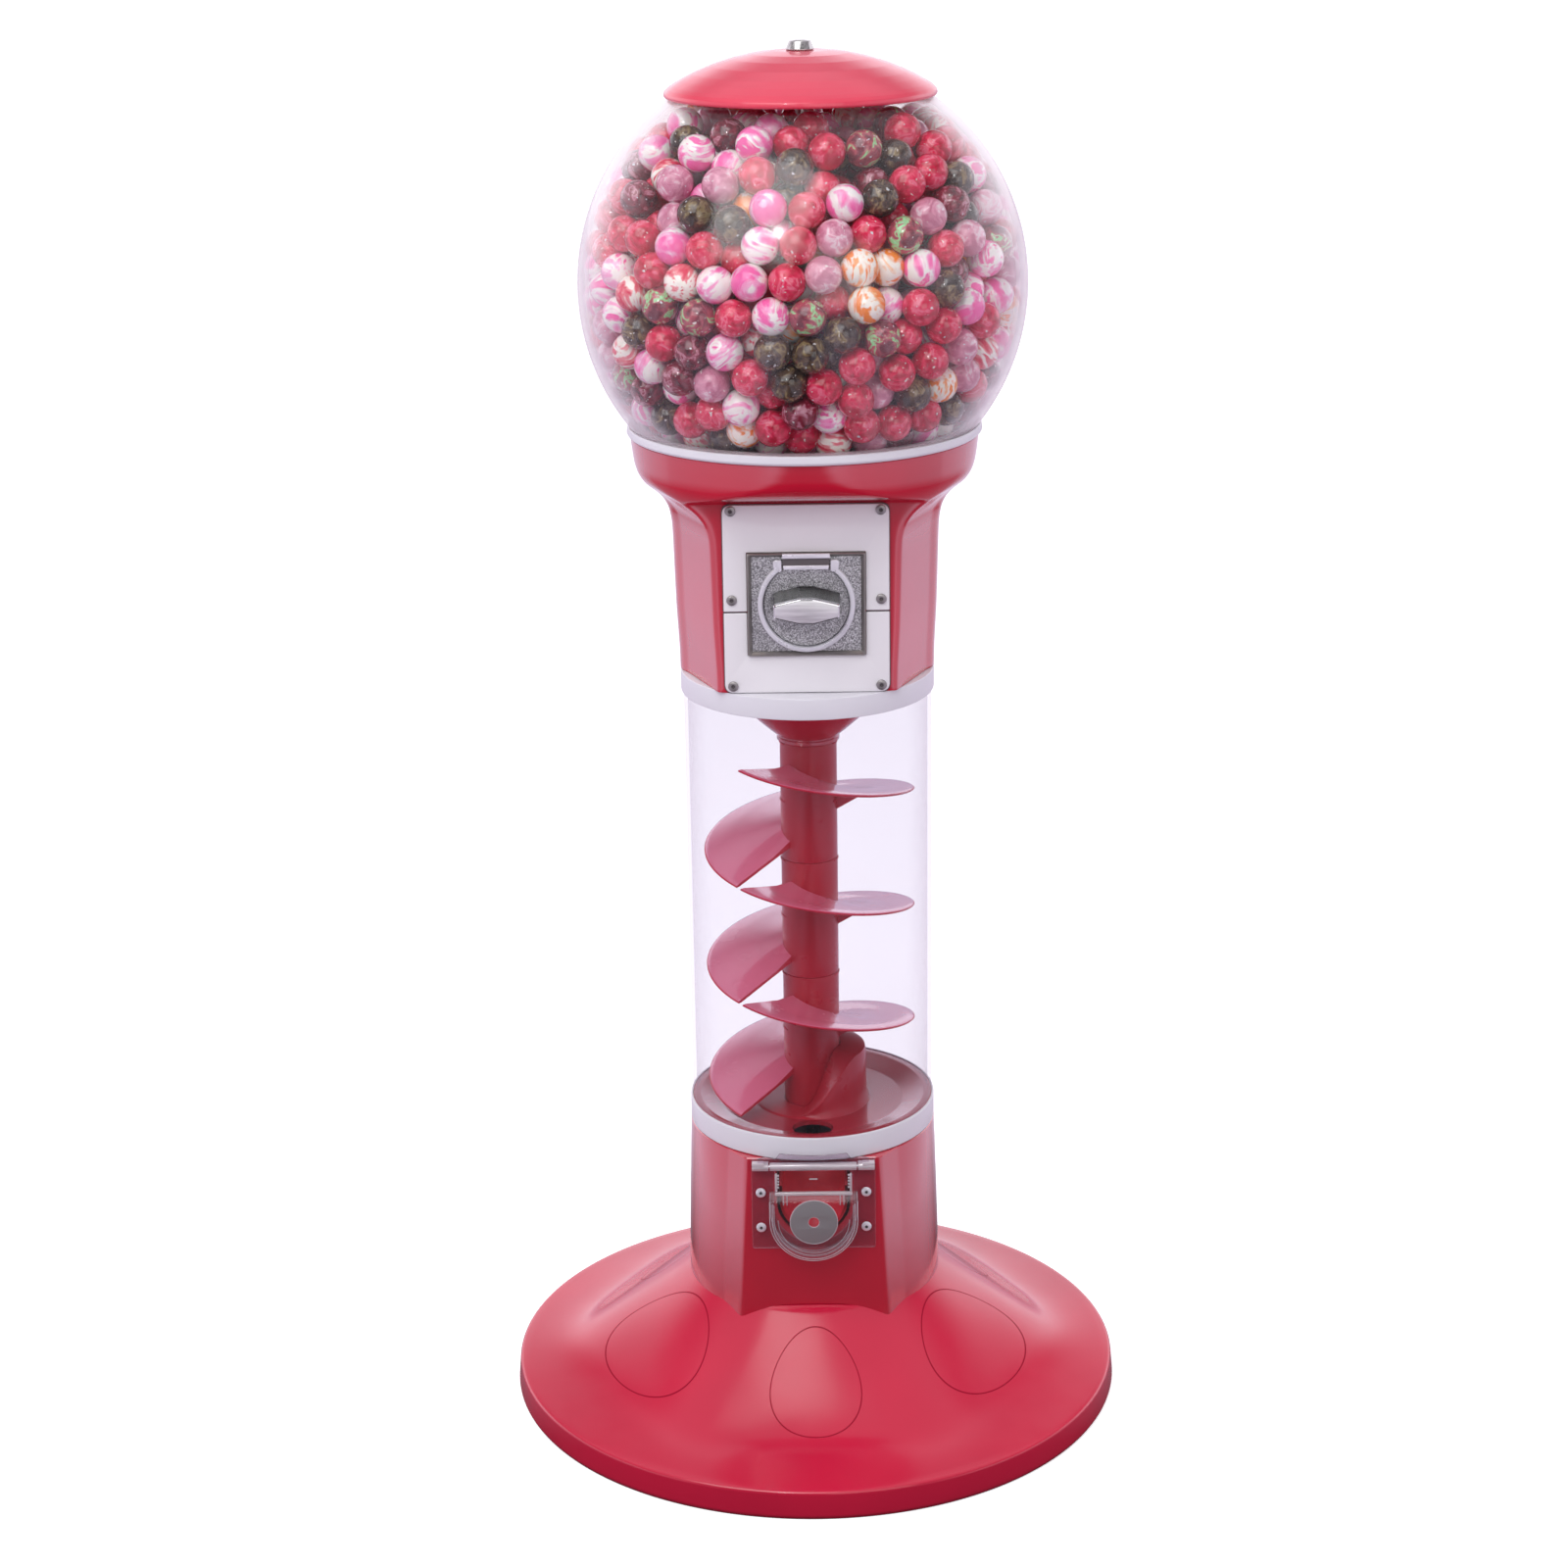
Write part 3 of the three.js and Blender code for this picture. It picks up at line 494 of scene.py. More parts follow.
def jelly(name, colour, deep, fleck, transmission):
    """A clear ball: deep colour with brighter patches at random, flecks, and tiny pale specks that are painted
    glints.
    """
    m = Nodes(name)
    inner = m.ramp(m.noise(95, 3, 0.6, 0.8), (0.4, deep), (0.55, colour), (0.62, fleck), (0.68, colour))
    painted_glints = m.ramp(m.noise(60, 1), (0.4, (0.95, 0.9, 0.85)), (0.6, (0.8, 0.9, 1.0)))
    # painted glints: tiny pale specks mixed into the colour
    m.link(m.mix(m.spread(m.noise(330, 1.5), 0.0, 0.9, 0.69, 0.72), inner, painted_glints), "Base Color")
    m.link(m.spread(m.noise(150, 2), 0.04, 0.14), "Roughness")
    m.bump(m.noise(260, 2), 0.06, 0.0004)
    m.set(Coat_Weight=0.8, Coat_Roughness=0.03, Transmission_Weight=transmission, IOR=1.4)
    return m.material


LOBES = 6
EGG_MIDDLE, EGG_HALF, EGG_WIDE, EGG_TAPER = 143.5, 36.0, 35.0, 0.16
SIDE_EGG_WIDE, REAR_EGG_WIDE, REAR_EGG_SHIFT = 58.0, 42.0, 22.0


def red_paint_with_painted_groove_shade(name, colour, roughness, coat):
    """Painted metal with a thin egg-shaped outline on each of the base's six lobes: a darker line without coat or
    sheen, painted shade standing for an engraved groove.
    """
    m = Nodes(name)
    spot = m.xyz(m.coords.outputs["Object"])
    x, y = spot["X"] * (1 / MM), spot["Y"] * (1 / MM)
    radius = (x * x + y * y).calc("SQRT")
    azimuth = x.calc("ARCTAN2", y * -1)
    near = azimuth.calc("PINGPONG", TURN / LOBES / 2)
    turned = azimuth.calc("ABSOLUTE")
    on_side = (turned - TURN / 4).calc("ABSOLUTE").calc("LESS_THAN", TURN / LOBES)
    on_rear = on_side * turned.calc("GREATER_THAN", TURN / 4)
    along = (radius * near.calc("COSINE") - (EGG_MIDDLE - on_rear * REAR_EGG_SHIFT)) / EGG_HALF
    half_wide = on_side * (SIDE_EGG_WIDE - EGG_WIDE) + EGG_WIDE - on_rear * (SIDE_EGG_WIDE - REAR_EGG_WIDE)
    side = radius * near.calc("SINE") / ((along * EGG_TAPER + 1) * half_wide)
    gap = ((along * along + side * side).calc("SQRT") - 1).calc("ABSOLUTE") * EGG_WIDE
    line = m.spread(gap, 1.0, 0.0, 0.12, 0.65)
    paint_colour = m.mottle(m.noise(7, 4), colour, 0.93, 1.06)
    # painted shade: the outline is darkened where the shade inside a groove would fall
    m.link(m.mix(line * 0.85, paint_colour, tint(colour, 0.4)), "Base Color")
    m.uneven(m.noise(40, 5), roughness, 0.85, 1.2)
    m.bump(m.noise(260, 2), 0.004, 0.0003)
    m.link(m.spread(line, coat, 0.0, 0.0, 1.0), "Coat Weight")
    m.link(m.spread(line, 0.5, 0.0, 0.0, 1.0), "Specular IOR Level")
    m.set(Coat_Roughness=0.12)
    return m.material


RED = (0.52, 0.009, 0.032)
MATERIALS = {
    "base": red_paint_with_painted_groove_shade("red_base_paint", (0.60, 0.010, 0.048), 0.2, 0.25),
    "shell": moulded("red_shell", RED, 0.22, coat=1.0, extra={"Coat_IOR": 1.75, "Specular_IOR_Level": 0.7},
                     dull_below=True),
    "lid": moulded("red_lid_satin", (0.70, 0.035, 0.08), 0.4, coat=0.6),
    "spiral": moulded("red_spiral", (0.50, 0.015, 0.033), 0.3, coat=0.2, vary=0.03),
    "dish": moulded("red_dish", (0.42, 0.016, 0.032), 0.2, coat=1.0, vary=0.03),
    # A paler, pinker red for the ramps' upper faces: partly the ramp's own tone, partly painted sheen.
    "flight": moulded("ramp_top_pink_and_painted_sheen", (0.84, 0.20, 0.32), 0.24, coat=1.0, vary=0.02, extra={"Coat_IOR": 1.7}),
    "flight_edge": moulded("ramp_edge", (0.60, 0.015, 0.045), 0.3),
    "white": moulded("white_ring", (0.72, 0.71, 0.76), 0.34, coat=0.1, vary=0.02),
    "plate": moulded("plate_powder_coat", (0.79, 0.77, 0.80), 0.45, peel=(900, 0.18, 0.0003), vary=0.03),
    "zinc": pebbled("zinc_pebbled", (0.42, 0.42, 0.43), 0.36),
    "zinc_smooth": moulded("zinc_smooth", (0.34, 0.32, 0.30), 0.34, metallic=0.9, peel=(500, 0.1, 0.0003)),
    # Near black, for the sheet behind the front plates, the screws' sockets and the coin slot's throat: painted shade
    # in gaps and recesses.
    "painted_shade_black": moulded("plate_gasket", (0.10, 0.085, 0.09), 0.5, vary=0.1),
    # Near-black metal for the grip's back towards the dial: painted shade and dark reflection of the hollow above the
    # grip.
    "rib": moulded("handle_dark_painted_shade", (0.15, 0.15, 0.15), 0.22, metallic=1.0, peel=(700, 0.35, 0.0005)),
    "satin": moulded("escutcheon_satin", (0.80, 0.79, 0.85), 0.28, metallic=0.35, peel=(600, 0.05, 0.0002),
                     vary=0.03),
    "chrome": moulded("chrome", (0.72, 0.72, 0.74), 0.1, metallic=1.0, peel=(150, 0.03, 0.0003), vary=0.03),
    "brushed_x": brushed("brushed_face", (0.82, 0.81, 0.82), 0.46, (0.05, 1, 1)),
    "dull_steel": moulded("screw_steel", (0.33, 0.31, 0.31), 0.38, metallic=0.9, peel=(500, 0.1, 0.0003)),
    "steel": brushed("plated_steel", (0.5, 0.49, 0.48), 0.3, (1, 0.1, 1)),
    "disc": moulded("disc_steel", (0.25, 0.24, 0.25), 0.5, metallic=0.25, peel=(700, 0.15, 0.0003), vary=0.05),
    "sheet": brushed("plated_sheet", (0.5, 0.5, 0.52), 0.35, (1, 0.08, 1)),
    "moulding": moulded("white_moulding", (0.72, 0.7, 0.64), 0.45, vary=0.04),
    "tube": see_through("clear_tube", (0.918, 0.911, 0.931), (0.74, 0.71, 0.80), 0.008, 0.16, 0.08, 0.012,
                        (0.4, 1.0)),
    "chute": see_through("clear_chute", (0.93, 0.88, 0.92), (0.78, 0.66, 0.76), 0.02, 0.5, 0.08, 0.025, (0.1, 1.0)),
    "cup": see_through("clear_cup", (0.97, 0.96, 0.97), (0.80, 0.72, 0.76), 0.012, 0.55, 0.06, 0.03, (0.3, 1.0)),
    # Dark grey lines along the visor's clear edges: painted shade of the edges.
    "dark_edge_line": see_through("painted_dark_edge", (0.8, 0.77, 0.8), (0.42, 0.39, 0.42), 0.35, 0.75, 0.12, 0.2),
    # Pale, half opaque clear plastic for the small parts and edge lines of the chute and flap: painted highlight.
    "bead": see_through("pale_painted_highlight", (0.9, 0.86, 0.9), (0.86, 0.78, 0.82), 0.45, 0.8, 0.12, 0.2),
    "globe": see_through("clear_globe", (0.988, 0.988, 0.988), (0.95, 0.94, 0.95), 0.0, 0.9, 0.14, 0.045,
                         (0.45, 1.0)),
    # A lighter copy of the red for the inside of the chute: painted light where little lamp light reaches.
    "chute_red_painted_light": moulded("chute_red_painted_light", (0.85, 0.012, 0.045), 0.45),
}


# ---------------------------------------------------------------- camera, floor and light

def make_camera():
    """The photograph's view: a long lens looking slightly down at the front."""
    data = bpy.data.cameras.new("camera")
    data.sensor_width = 36
    data.lens = 72.62
    data.clip_end = 50
    camera = link("camera", data)
    pitch, yaw, roll = (math.radians(a) for a in (17.820, -0.469, -0.830))
    ahead = Vector((math.sin(yaw) * math.cos(pitch), math.cos(yaw) * math.cos(pitch), -math.sin(pitch)))
    right = Vector((math.cos(yaw), -math.sin(yaw), 0))
    up = right.cross(ahead)
    tilted_right = math.cos(roll) * right + math.sin(roll) * up
    tilted_up = -math.sin(roll) * right + math.cos(roll) * up
    axes = Matrix((tilted_right, tilted_up, -ahead)).transposed().to_4x4()
    camera.matrix_world = Matrix.Translation((0, -2.3348, 1.2539)) @ axes
    bpy.context.scene.camera = camera


def make_floor():
    """White paper to the camera; to the object it is dim in front and bright beside and behind."""
    far, glow = 40000, 0.58
    floor = make("floor", [(-far, -far, 0), (far, -far, 0), (far, far, 0), (-far, far, 0)], [(0, 1, 2, 3)])
    m = Nodes("floor_paper")
    seen = Number(m, m.node("ShaderNodeLightPath").outputs["Is Camera Ray"])
    paper = m.ramp(m.noise(3, 3), (0.3, (0.92, 0.92, 0.93)), (0.7, (0.94, 0.94, 0.95)))
    m.link(m.mix(seen, (0.09, 0.085, 0.095), paper), "Base Color")
    spot = m.xyz(m.coords.outputs["Object"])
    aside = spot["X"].calc("ABSOLUTE")
    beside = m.spread(aside, 0.0, 0.9, 0.22, 0.45) * m.spread(aside, 1.0, 0.66, 0.5, 0.9)
    behind = m.spread(spot["Y"], 0.0, 0.8, 0.2, 0.55)
    m.link(seen * glow + (1.0 - seen) * beside.calc("MAXIMUM", behind), "Emission Strength")
    m.link(m.ramp(seen, (0.0, (0.93, 0.80, 1.0)), (1.0, (1.0, 1.0, 1.0))), "Emission Color")
    m.set(Roughness=0.9, Specular_IOR_Level=0.0)
    floor.data.materials.append(m.material)


def make_world():
    """A studio that is dim in front, bright at both sides and above, and plain white to the camera."""
    world = bpy.data.worlds.new("studio")
    bpy.context.scene.world = world
    m = Nodes("studio", world)

    def graded(value, to_low, to_high, from_low, from_high):
        return m.spread(value, to_low, to_high, from_low, from_high, "SMOOTHSTEP")

    way = m.xyz(m.coords.outputs["Generated"])
    depth = graded(way["Y"], 0.07, 1.6, 0.0, 0.8)
    sides = graded(way["X"].calc("ABSOLUTE"), 0.0, 1.15, 0.5, 0.95)
    near_floor = graded(way["Z"], 1.0, 0.16, 0.28, 0.62)
    above = graded(way["Z"], 0.0, 0.75, 0.58, 0.8)
    lit = m.tree.nodes["Background"]
    lit.inputs["Color"].default_value = (0.96, 0.91, 1.0, 1)
    m.link((depth + sides) * near_floor + above, lit.inputs["Strength"])
    plain = m.node("ShaderNodeBackground", Color=(1.1, 1.1, 1.1, 1))
    to_camera = m.node("ShaderNodeLightPath").outputs["Is Camera Ray"]
    m.link(m.layer(to_camera, lit, plain).outputs[0], m.tree.nodes["World Output"].inputs["Surface"])


def make_light(name, stand_at, target, size, watts):
    data = bpy.data.lights.new(name, "AREA")
    data.shape = "RECTANGLE"
    data.size, data.size_y = size
    data.energy = watts
    lamp = link(name, data)
    lamp.location = stand_at
    lamp.rotation_euler = (Vector(target) - Vector(stand_at)).to_track_quat("-Z", "Y").to_euler()


bpy.context.scene.view_settings.view_transform = "Standard"
make_camera()
make_floor()
make_world()
make_light("key", (-0.85, -1.7, 2.7), (0, 0, 0.75), (2.2, 2.5), 49)
make_light("spark", (-0.5, -2.1, 2.3), (0, 0, 0.8), (0.12, 0.12), 4)
make_light("fill", (0.9, -2.6, 1.5), (0, 0, 0.6), (1.6, 1.6), 12)


# ---------------------------------------------------------------- base and pedestal

BASE_R = high("base")[0]
BASE_TOP_Z = high("base")[2]
BASE_TOP_R = 93.0
FOOT_R, FOOT_Z = 183.0, 27.0
FLANGE_R, FLANGE_FALL = 235.0, 0.075
SLOPE = (BASE_TOP_Z - FOOT_Z) / (FOOT_R - BASE_TOP_R)


def smooth_max(a, b, soft):
    return 0.5 * (a + b + np.sqrt((a - b) ** 2 + soft ** 2))


def smooth_min(a, b, soft):
    return 0.5 * (a + b - np.sqrt((a - b) ** 2 + soft ** 2))


def smooth_step(x, a, b):
    t = np.clip((x - a) / (b - a), 0, 1)
    return t * t * (3 - 2 * t)


def lobe_reach(azimuth):
    """How far a rounded hexagon reaches, as a multiple of its apothem."""
    power = 8
    total = sum(np.maximum(0, np.cos(azimuth - i * TURN / LOBES)) ** power for i in range(LOBES))
    return total ** (-1 / power)


def base_height(radius, azimuth):
    """The base's top surface: a lobed cone that runs into a shallow flange and a round rim."""
    z = np.full_like(radius, 60.0)
    for _ in range(6):
        down = (BASE_TOP_Z - z) / (BASE_TOP_Z - FOOT_Z)
        reach = 1 + smooth_step(down, 0.15, 0.9) * (lobe_reach(azimuth) - 1)
        z = BASE_TOP_Z - (radius / reach - BASE_TOP_R) * SLOPE
        z = np.clip(z, -80, 140)
    flange = FOOT_Z - 0.4 - (radius - FOOT_R) * FLANGE_FALL
    return smooth_min(smooth_max(z, flange, 12.0), BASE_TOP_Z + 0 * radius, 2.0)


def make_base():
    angles = full_turn(800, -math.pi)
    radii = np.concatenate([np.linspace(7, 96, 6), np.linspace(99, 196, 64), np.linspace(199, FLANGE_R, 14)])
    rings = [around_z(r, angles, base_height(np.full_like(angles, r), angles)) for r in radii]
    rim_z = float(base_height(np.array([FLANGE_R]), np.array([0.0]))[0])
    edge = rounded([(FLANGE_R, rim_z), (241.2, rim_z - 0.6), (BASE_R, 3), (BASE_R - 2, 0), (228, 0)],
                   [0, 6, 8, 2, 0], 8, closed=False)
    underside = [(228, 15)]
    for r in (196, 176, 156, 136, 116, 98, 60, 7):
        lowest = float(base_height(np.full_like(angles, r), angles).min())
        underside.append((r, min(95, lowest - 4)))
    rings += [around_z(r, angles, z) for r, z in edge[1:] + underside]
    place(loft("base_shell", rings, along=True, sharp=50), "stand", "red_cast", "base", "base")


def section_radius(angles, corners, radius):
    """Radius of a drum with flat faces: lines between corners given as (azimuth, radius) on one side."""
    a = np.abs(angles)
    out = np.full_like(a, radius)
    for (a0, r0), (a1, r1) in zip(corners, corners[1:]):
        p0 = np.array([r0 * math.sin(a0), r0 * math.cos(a0)])
        p1 = np.array([r1 * math.sin(a1), r1 * math.cos(a1)])
        normal = np.array([p1[1] - p0[1], p0[0] - p1[0]])
        normal = normal / np.linalg.norm(normal)
        facing = normal[0] * np.sin(a) + normal[1] * np.cos(a)
        out = np.where((a >= a0) & (a <= a1), normal @ p0 / facing, out)
    return out


def bell(reach, sigma):
    """Weights that fall off on both sides and come to 1."""
    weights = np.exp(-0.5 * (np.arange(-reach, reach + 1) / sigma) ** 2)
    return weights / weights.sum()


def soften(values, sigma):
    """Rounds corners along a closed ring of values."""
    reach = int(4 * sigma) + 1
    return np.convolve(np.concatenate([values[-reach:], values, values[:reach]]), bell(reach, sigma), "valid")


def soften_open(values, sigma):
    """Rounds corners along a row of values and keeps its ends."""
    reach = int(4 * sigma)
    before = 2 * values[0] - values[reach:0:-1]
    after = 2 * values[-1] - values[-2:-reach - 2:-1]
    return np.convolve(np.concatenate([before, values, after]), bell(reach, sigma), "valid")


PEDESTAL_LOW, PEDESTAL_HIGH = 85, 232       # the levels that its section is drawn between
PEDESTAL_TOP = low("lower_tube_ring")[2] - 0.3
DISH_LIP_Z = high("lower_tube_ring")[2] - 0.5
NOSE_Y = -90.0


def pedestal_section(angles, z):
    """Radius of the pedestal at a height: a drum with a flat nose and a chamfer beside it."""
    t = (z - PEDESTAL_LOW) / (PEDESTAL_HIGH - PEDESTAL_LOW)
    front = 58.5 + (52 - 58.5) * t
    side_x, side_y = 73 + (66 - 73) * t, -70 - 1 * t
    radius = 101 - 4 * min(1, max(0, (z - PEDESTAL_LOW) / (228 - PEDESTAL_LOW))) ** 1.3
    first = (math.atan2(front, -NOSE_Y), math.hypot(front, NOSE_Y))
    second = (math.atan2(side_x, -side_y), radius)
    return soften(section_radius(angles, [(0, -NOSE_Y), first, second], radius), 1.6)


def make_pedestal():
    count, wall, levels = 720, 3.2, 40
    angles = full_turn(count, -math.pi)
    foot = base_height(pedestal_section(angles, 95), angles) - 0.8

    def row(share, inset, drop=0.0):
        z = foot + (PEDESTAL_TOP - foot) * share - drop
        radius = np.empty(count)
        for level in np.linspace(PEDESTAL_LOW, PEDESTAL_HIGH, levels + 1):
            here = (z >= level - 2) & (z < level + 2)
            if here.any():
                radius[here] = pedestal_section(angles, level)[here]
        return around_z(radius - inset, angles, z)

    rows = [row(0, 3), row(0, 0.6), row(0.003, 0)]
    rows += [row(share, 0) for share in np.linspace(0.03, 0.97, 16)]
    rows += [row(0.995, 0), row(1, 0.6), row(1, 14), row(1, 14, 4), row(1, 4, 6)]
    rows += [row(share, wall) for share in np.linspace(0.9, 0.05, 5)]
    shell = loft("pedestal_shell", rows, along=True, sharp=40)
    mouth = [(28.5, 217), (-28.5, 217)] + lower_half(28.5, 190, 32)
    cut(shell, loft("mouth_tool", [[(x, y, z) for x, z in mouth] for y in (-104, -78)], caps=True))
    place(shell, "stand", "red_shell", "shell", "pedestal")


# ---------------------------------------------------------------- tube, rings and spiral

TUBE_R, TUBE_WALL = 95.0, 3.0


def make_rings_and_tube():
    channel_r = TUBE_R + 0.3
    for node, inner in (("lower_tube_ring", 80.5), ("upper_tube_ring", 93.2)):
        z0, z1, outer = low(node)[2], high(node)[2], high(node)[0]
        if node == "lower_tube_ring":
            corners = [(inner, z0), (outer, z0), (outer, z1), (channel_r, z1), (channel_r, z0 + 7.7),
                       (inner, z0 + 7.7)]
        else:
            corners = [(channel_r, z0), (outer, z0), (outer, z1), (78, z1), (78, z1 - 0.5), (inner, z1 - 0.5),
                       (inner, z1 - 4.4), (channel_r, z1 - 4.4)]
        radii = [0.3, 1.2, 0.8] + [0.2] * (len(corners) - 3)
        place(lathe(node + "_shell", rounded(corners, radii, 3), 160), "stand", "white_ring", "white", node)
    z0, z1 = low("globe_ring")[2], high("globe_ring")[2]
    corners = [(120.5, z0), (131.4, z0), (133, z0 + 1.8), (132.2, z1), (120.5, z1)]
    ring = lathe("globe_ring_shell", rounded(corners, [0.3, 0.8, 1.2, 1.2, 0.3], 3), 200)
    place(ring, "stand", "white_ring", "white", "globe_ring")
    z0, z1, bore = DISH_LIP_Z + 0.05, high("clear_tube")[2], TUBE_R - TUBE_WALL
    tube = lathe("tube_wall", rounded([(bore, z0), (TUBE_R, z0), (TUBE_R, z1), (bore, z1)], 0.4, 2), 160)
    place(tube, "stand", "clear_tube", "tube", "clear_tube")


FLIGHT_R, HUB_R = 82.0, 22.0
FLIGHT_START = math.radians(-42)
SECTION_HIGH = 95                           # each ramp section's height
HUB_TOP = 540.0
RIM_TOP, ROOT_TOP, ROOT_FALL = 535.7, 521.7, 63
FLIGHT_HALF = 1.3                           # half a ramp's thickness


def flight_rings(index, steps=120):
    """Sections of one ramp: thin, round at its outer edge, thicker where it meets its hub."""
    upper = [(radius, 1) for radius in (HUB_R - 1.5, 40, 60, 78, 81.2)]
    under = [(radius, -1) for radius, _ in upper[::-1]]
    rings = []
    for i in range(steps + 1):
        share = (1.5 + 357 * i / steps) / 360
        azimuth = FLIGHT_START + TURN * share
        outer = RIM_TOP - SECTION_HIGH * (index + share)
        inner = ROOT_TOP - SECTION_HIGH * index - ROOT_FALL * share
        section = []
        for radius, side in upper + [(FLIGHT_R, 0)] + under:
            middle = inner + (outer - inner) * (radius - HUB_R) / (FLIGHT_R - HUB_R) - FLIGHT_HALF
            fillet = 1.6 * math.exp(-(radius - HUB_R) / 2.5) if side > 0 else 0
            z = middle + side * (FLIGHT_HALF if radius < 81 else 0.75) + fillet
            section.append((radius * math.sin(azimuth), -radius * math.cos(azimuth), z))
        rings.append(section)
    return rings


def make_gusset(index):
    """The rib under a ramp where it meets its hub."""
    azimuth = math.radians(80)
    share = ((azimuth - FLIGHT_START) % TURN) / TURN
    under = ROOT_TOP - SECTION_HIGH * index - ROOT_FALL * share - FLIGHT_HALF - 1.5
    out = np.array((math.sin(azimuth), -math.cos(azimuth), 0))
    across = np.array((math.cos(azimuth), math.sin(azimuth), 0))
    corners = [(21, under), (38, under - 3.5), (21, under - 14)]
    sides = [[r * out + half * across + (0, 0, z) for r, z in corners] for half in (-1.2, 1.2)]
    return paint(loft("gusset", sides, caps=True), "flight_edge")


def make_spiral():
    for index in range(3):
        node = f"spiral_section_{index + 1}"
        top = HUB_TOP - SECTION_HIGH * index
        bottom = low(node)[2] if index == 2 else 445.3 - SECTION_HIGH * index
        hub = lathe("hub", rounded([(18, bottom), (HUB_R, bottom), (HUB_R, top), (18, top)], 0.5, 3), 72)
        ramp = paint(loft("ramp", flight_rings(index), caps=True, sharp=50), "flight", "flight_edge")
        # Upper faces take the paler pink, partly painted sheen; undersides and the outer edge keep the red.
        for polygon in ramp.data.polygons:
            centre = polygon.center / MM
            if math.hypot(centre.x, centre.y) > 81 or polygon.normal.z < 0.5:
                polygon.material_index = 1
        parts = [paint(hub, "spiral"), ramp]
        for level in (top - 47.5, top - 1.0):
            for side in (-1, 1):
                rings = []
                for a in np.linspace(-0.28, 0.28, 9):
                    azimuth = side * math.pi / 2 - side * 0.25 + a
                    rings.append([(r * math.sin(azimuth), -r * math.cos(azimuth), level + dz)
                                  for r, dz in ((21.5, -0.7), (22.7, -0.5), (22.7, 0.5), (21.5, 0.7))])
                parts.append(paint(loft("tab", rings, caps=True), "flight_edge"))
        parts.append(make_gusset(index))
        place(join(f"spiral_ramp_{index + 1}", parts), "stand", "red_spiral", None, node)


def make_spiral_floor():
    """The dish that the balls land in, with its exit hole and the deflector round the hub."""
    z0, lip = low("spiral_floor")[2], DISH_LIP_Z
    rod_r, rim_r, under_tube_r = 6.2, 91.6, 95.2
    dish = rounded([(rod_r, z0), (rim_r, z0), (rim_r, lip - 1.2), (under_tube_r, lip - 1.2), (under_tube_r, lip),
                    (89, lip), (72, 241.0), (43, 240.2), (rod_r, 240.2)], [0, 0.3, 0.2, 0.2, 0.3, 3, 8, 3, 0], 4)
    floor = lathe("floor_dish", dish, 160)
    hole = lathe("hole_tool", [(0.01, 225), (16, 225), (16, 262), (0.01, 262)], 64, closed=False)
    hole.data.transform(Matrix.Translation((0, -0.062, 0)))
    angles = full_turn(240, -math.pi)
    rise = 45 * smooth_step(angles, -0.3, 1.0) * (1 - smooth_step(angles, 2.5, 3.0))
    rings = [around_z(22.7, angles, 240.3), around_z(46.0, angles, 240.3)]
    for radius, share in ((43.8, 0.12), (43.0, 0.4), (43.0, 0.9), (42.2, 0.98), (40.0, 1.0), (22.7, 1.03)):
        rings.append(around_z(radius, angles, 241 + rise * share))
    drum = loft("deflector", rings, along=True, sharp=45)
    parts = [paint(cut(floor, hole), "dish"), paint(drum, "spiral")]
    place(join("spiral_floor_dish", parts), "stand", "red_spiral", None, "spiral_floor")


def make_spiral_ceiling():
    step = [(6.2, 540.4), (23.2, 540.4), (24.2, 541.2), (24.2, 543.6), (23.4, 544.2), (23.4, 545.2)]
    cone = [(24.6, 545.8), (27, 547.6), (30.5, 550.5), (35.5, 555), (42, 561), (49, 568), (57, 576), (64, 584.3)]
    back = [(91.7, 584.3), (91.7, 599), (58, 599), (57, 588), (20, 549), (6.2, 545)]
    place(lathe("spiral_funnel", step + cone + back), "stand", "red_spiral", "shell", "spiral_ceiling")


# ---------------------------------------------------------------- mechanism housing

FACE_Y = -77.0
HOUSING = [(597, 97), (600, 97), (615, 97.2), (650, 99), (690, 100), (707, 100.4), (716, 101), (726, 103),
           (735, 107.5), (742, 113.5), (748, 119.5), (755, 124.8), (762, 127.8), (771, 129.8), (781.5, 131)]
HOOD = [(742.8, 77), (744.4, 80), (746.8, 88), (749.8, 99), (753.3, 110), (757.3, 119), (762, 125.5), (768, 129),
        (775, 130.5), (781.5, 131)]


def interpolate(table, z):
    """A smooth value from (z, value) points."""
    zs, values = (np.array(column, float) for column in zip(*table))
    fine = np.linspace(zs[0], zs[-1], 400)
    return float(np.interp(z, fine, soften_open(np.interp(fine, zs, values), 5)))


def housing_section(angles, z):
    """Radius of the housing: flat in front and at both sides, round behind, opening into a round collar."""
    drum = interpolate(HOUSING, z)
    open_up = float(smooth_step(np.array([z]), 722, 774)[0])
    side = 91.2 / 97 * drum
    side = side + (drum * 1.08 - side) * open_up
    a = np.abs(angles)
    flat_side = side / np.maximum(0.05, np.cos(a - math.radians(66.6)))
    blend = smooth_step(a, math.radians(76), math.radians(90))
    radius = flat_side * (1 - blend) + drum * blend
    face = -FACE_Y if z <= HOOD[0][0] else interpolate(HOOD, z)
    front = np.minimum(face / np.maximum(0.05, np.cos(a)), 400)
    radius = np.where(a < math.radians(85), smooth_min(radius, front, 0.9 + 5 * open_up), radius)
    corner = drum * (1.05 - 0.05 * open_up)
    return smooth_min(radius, corner + 0 * a, 0.4 + 3 * open_up)


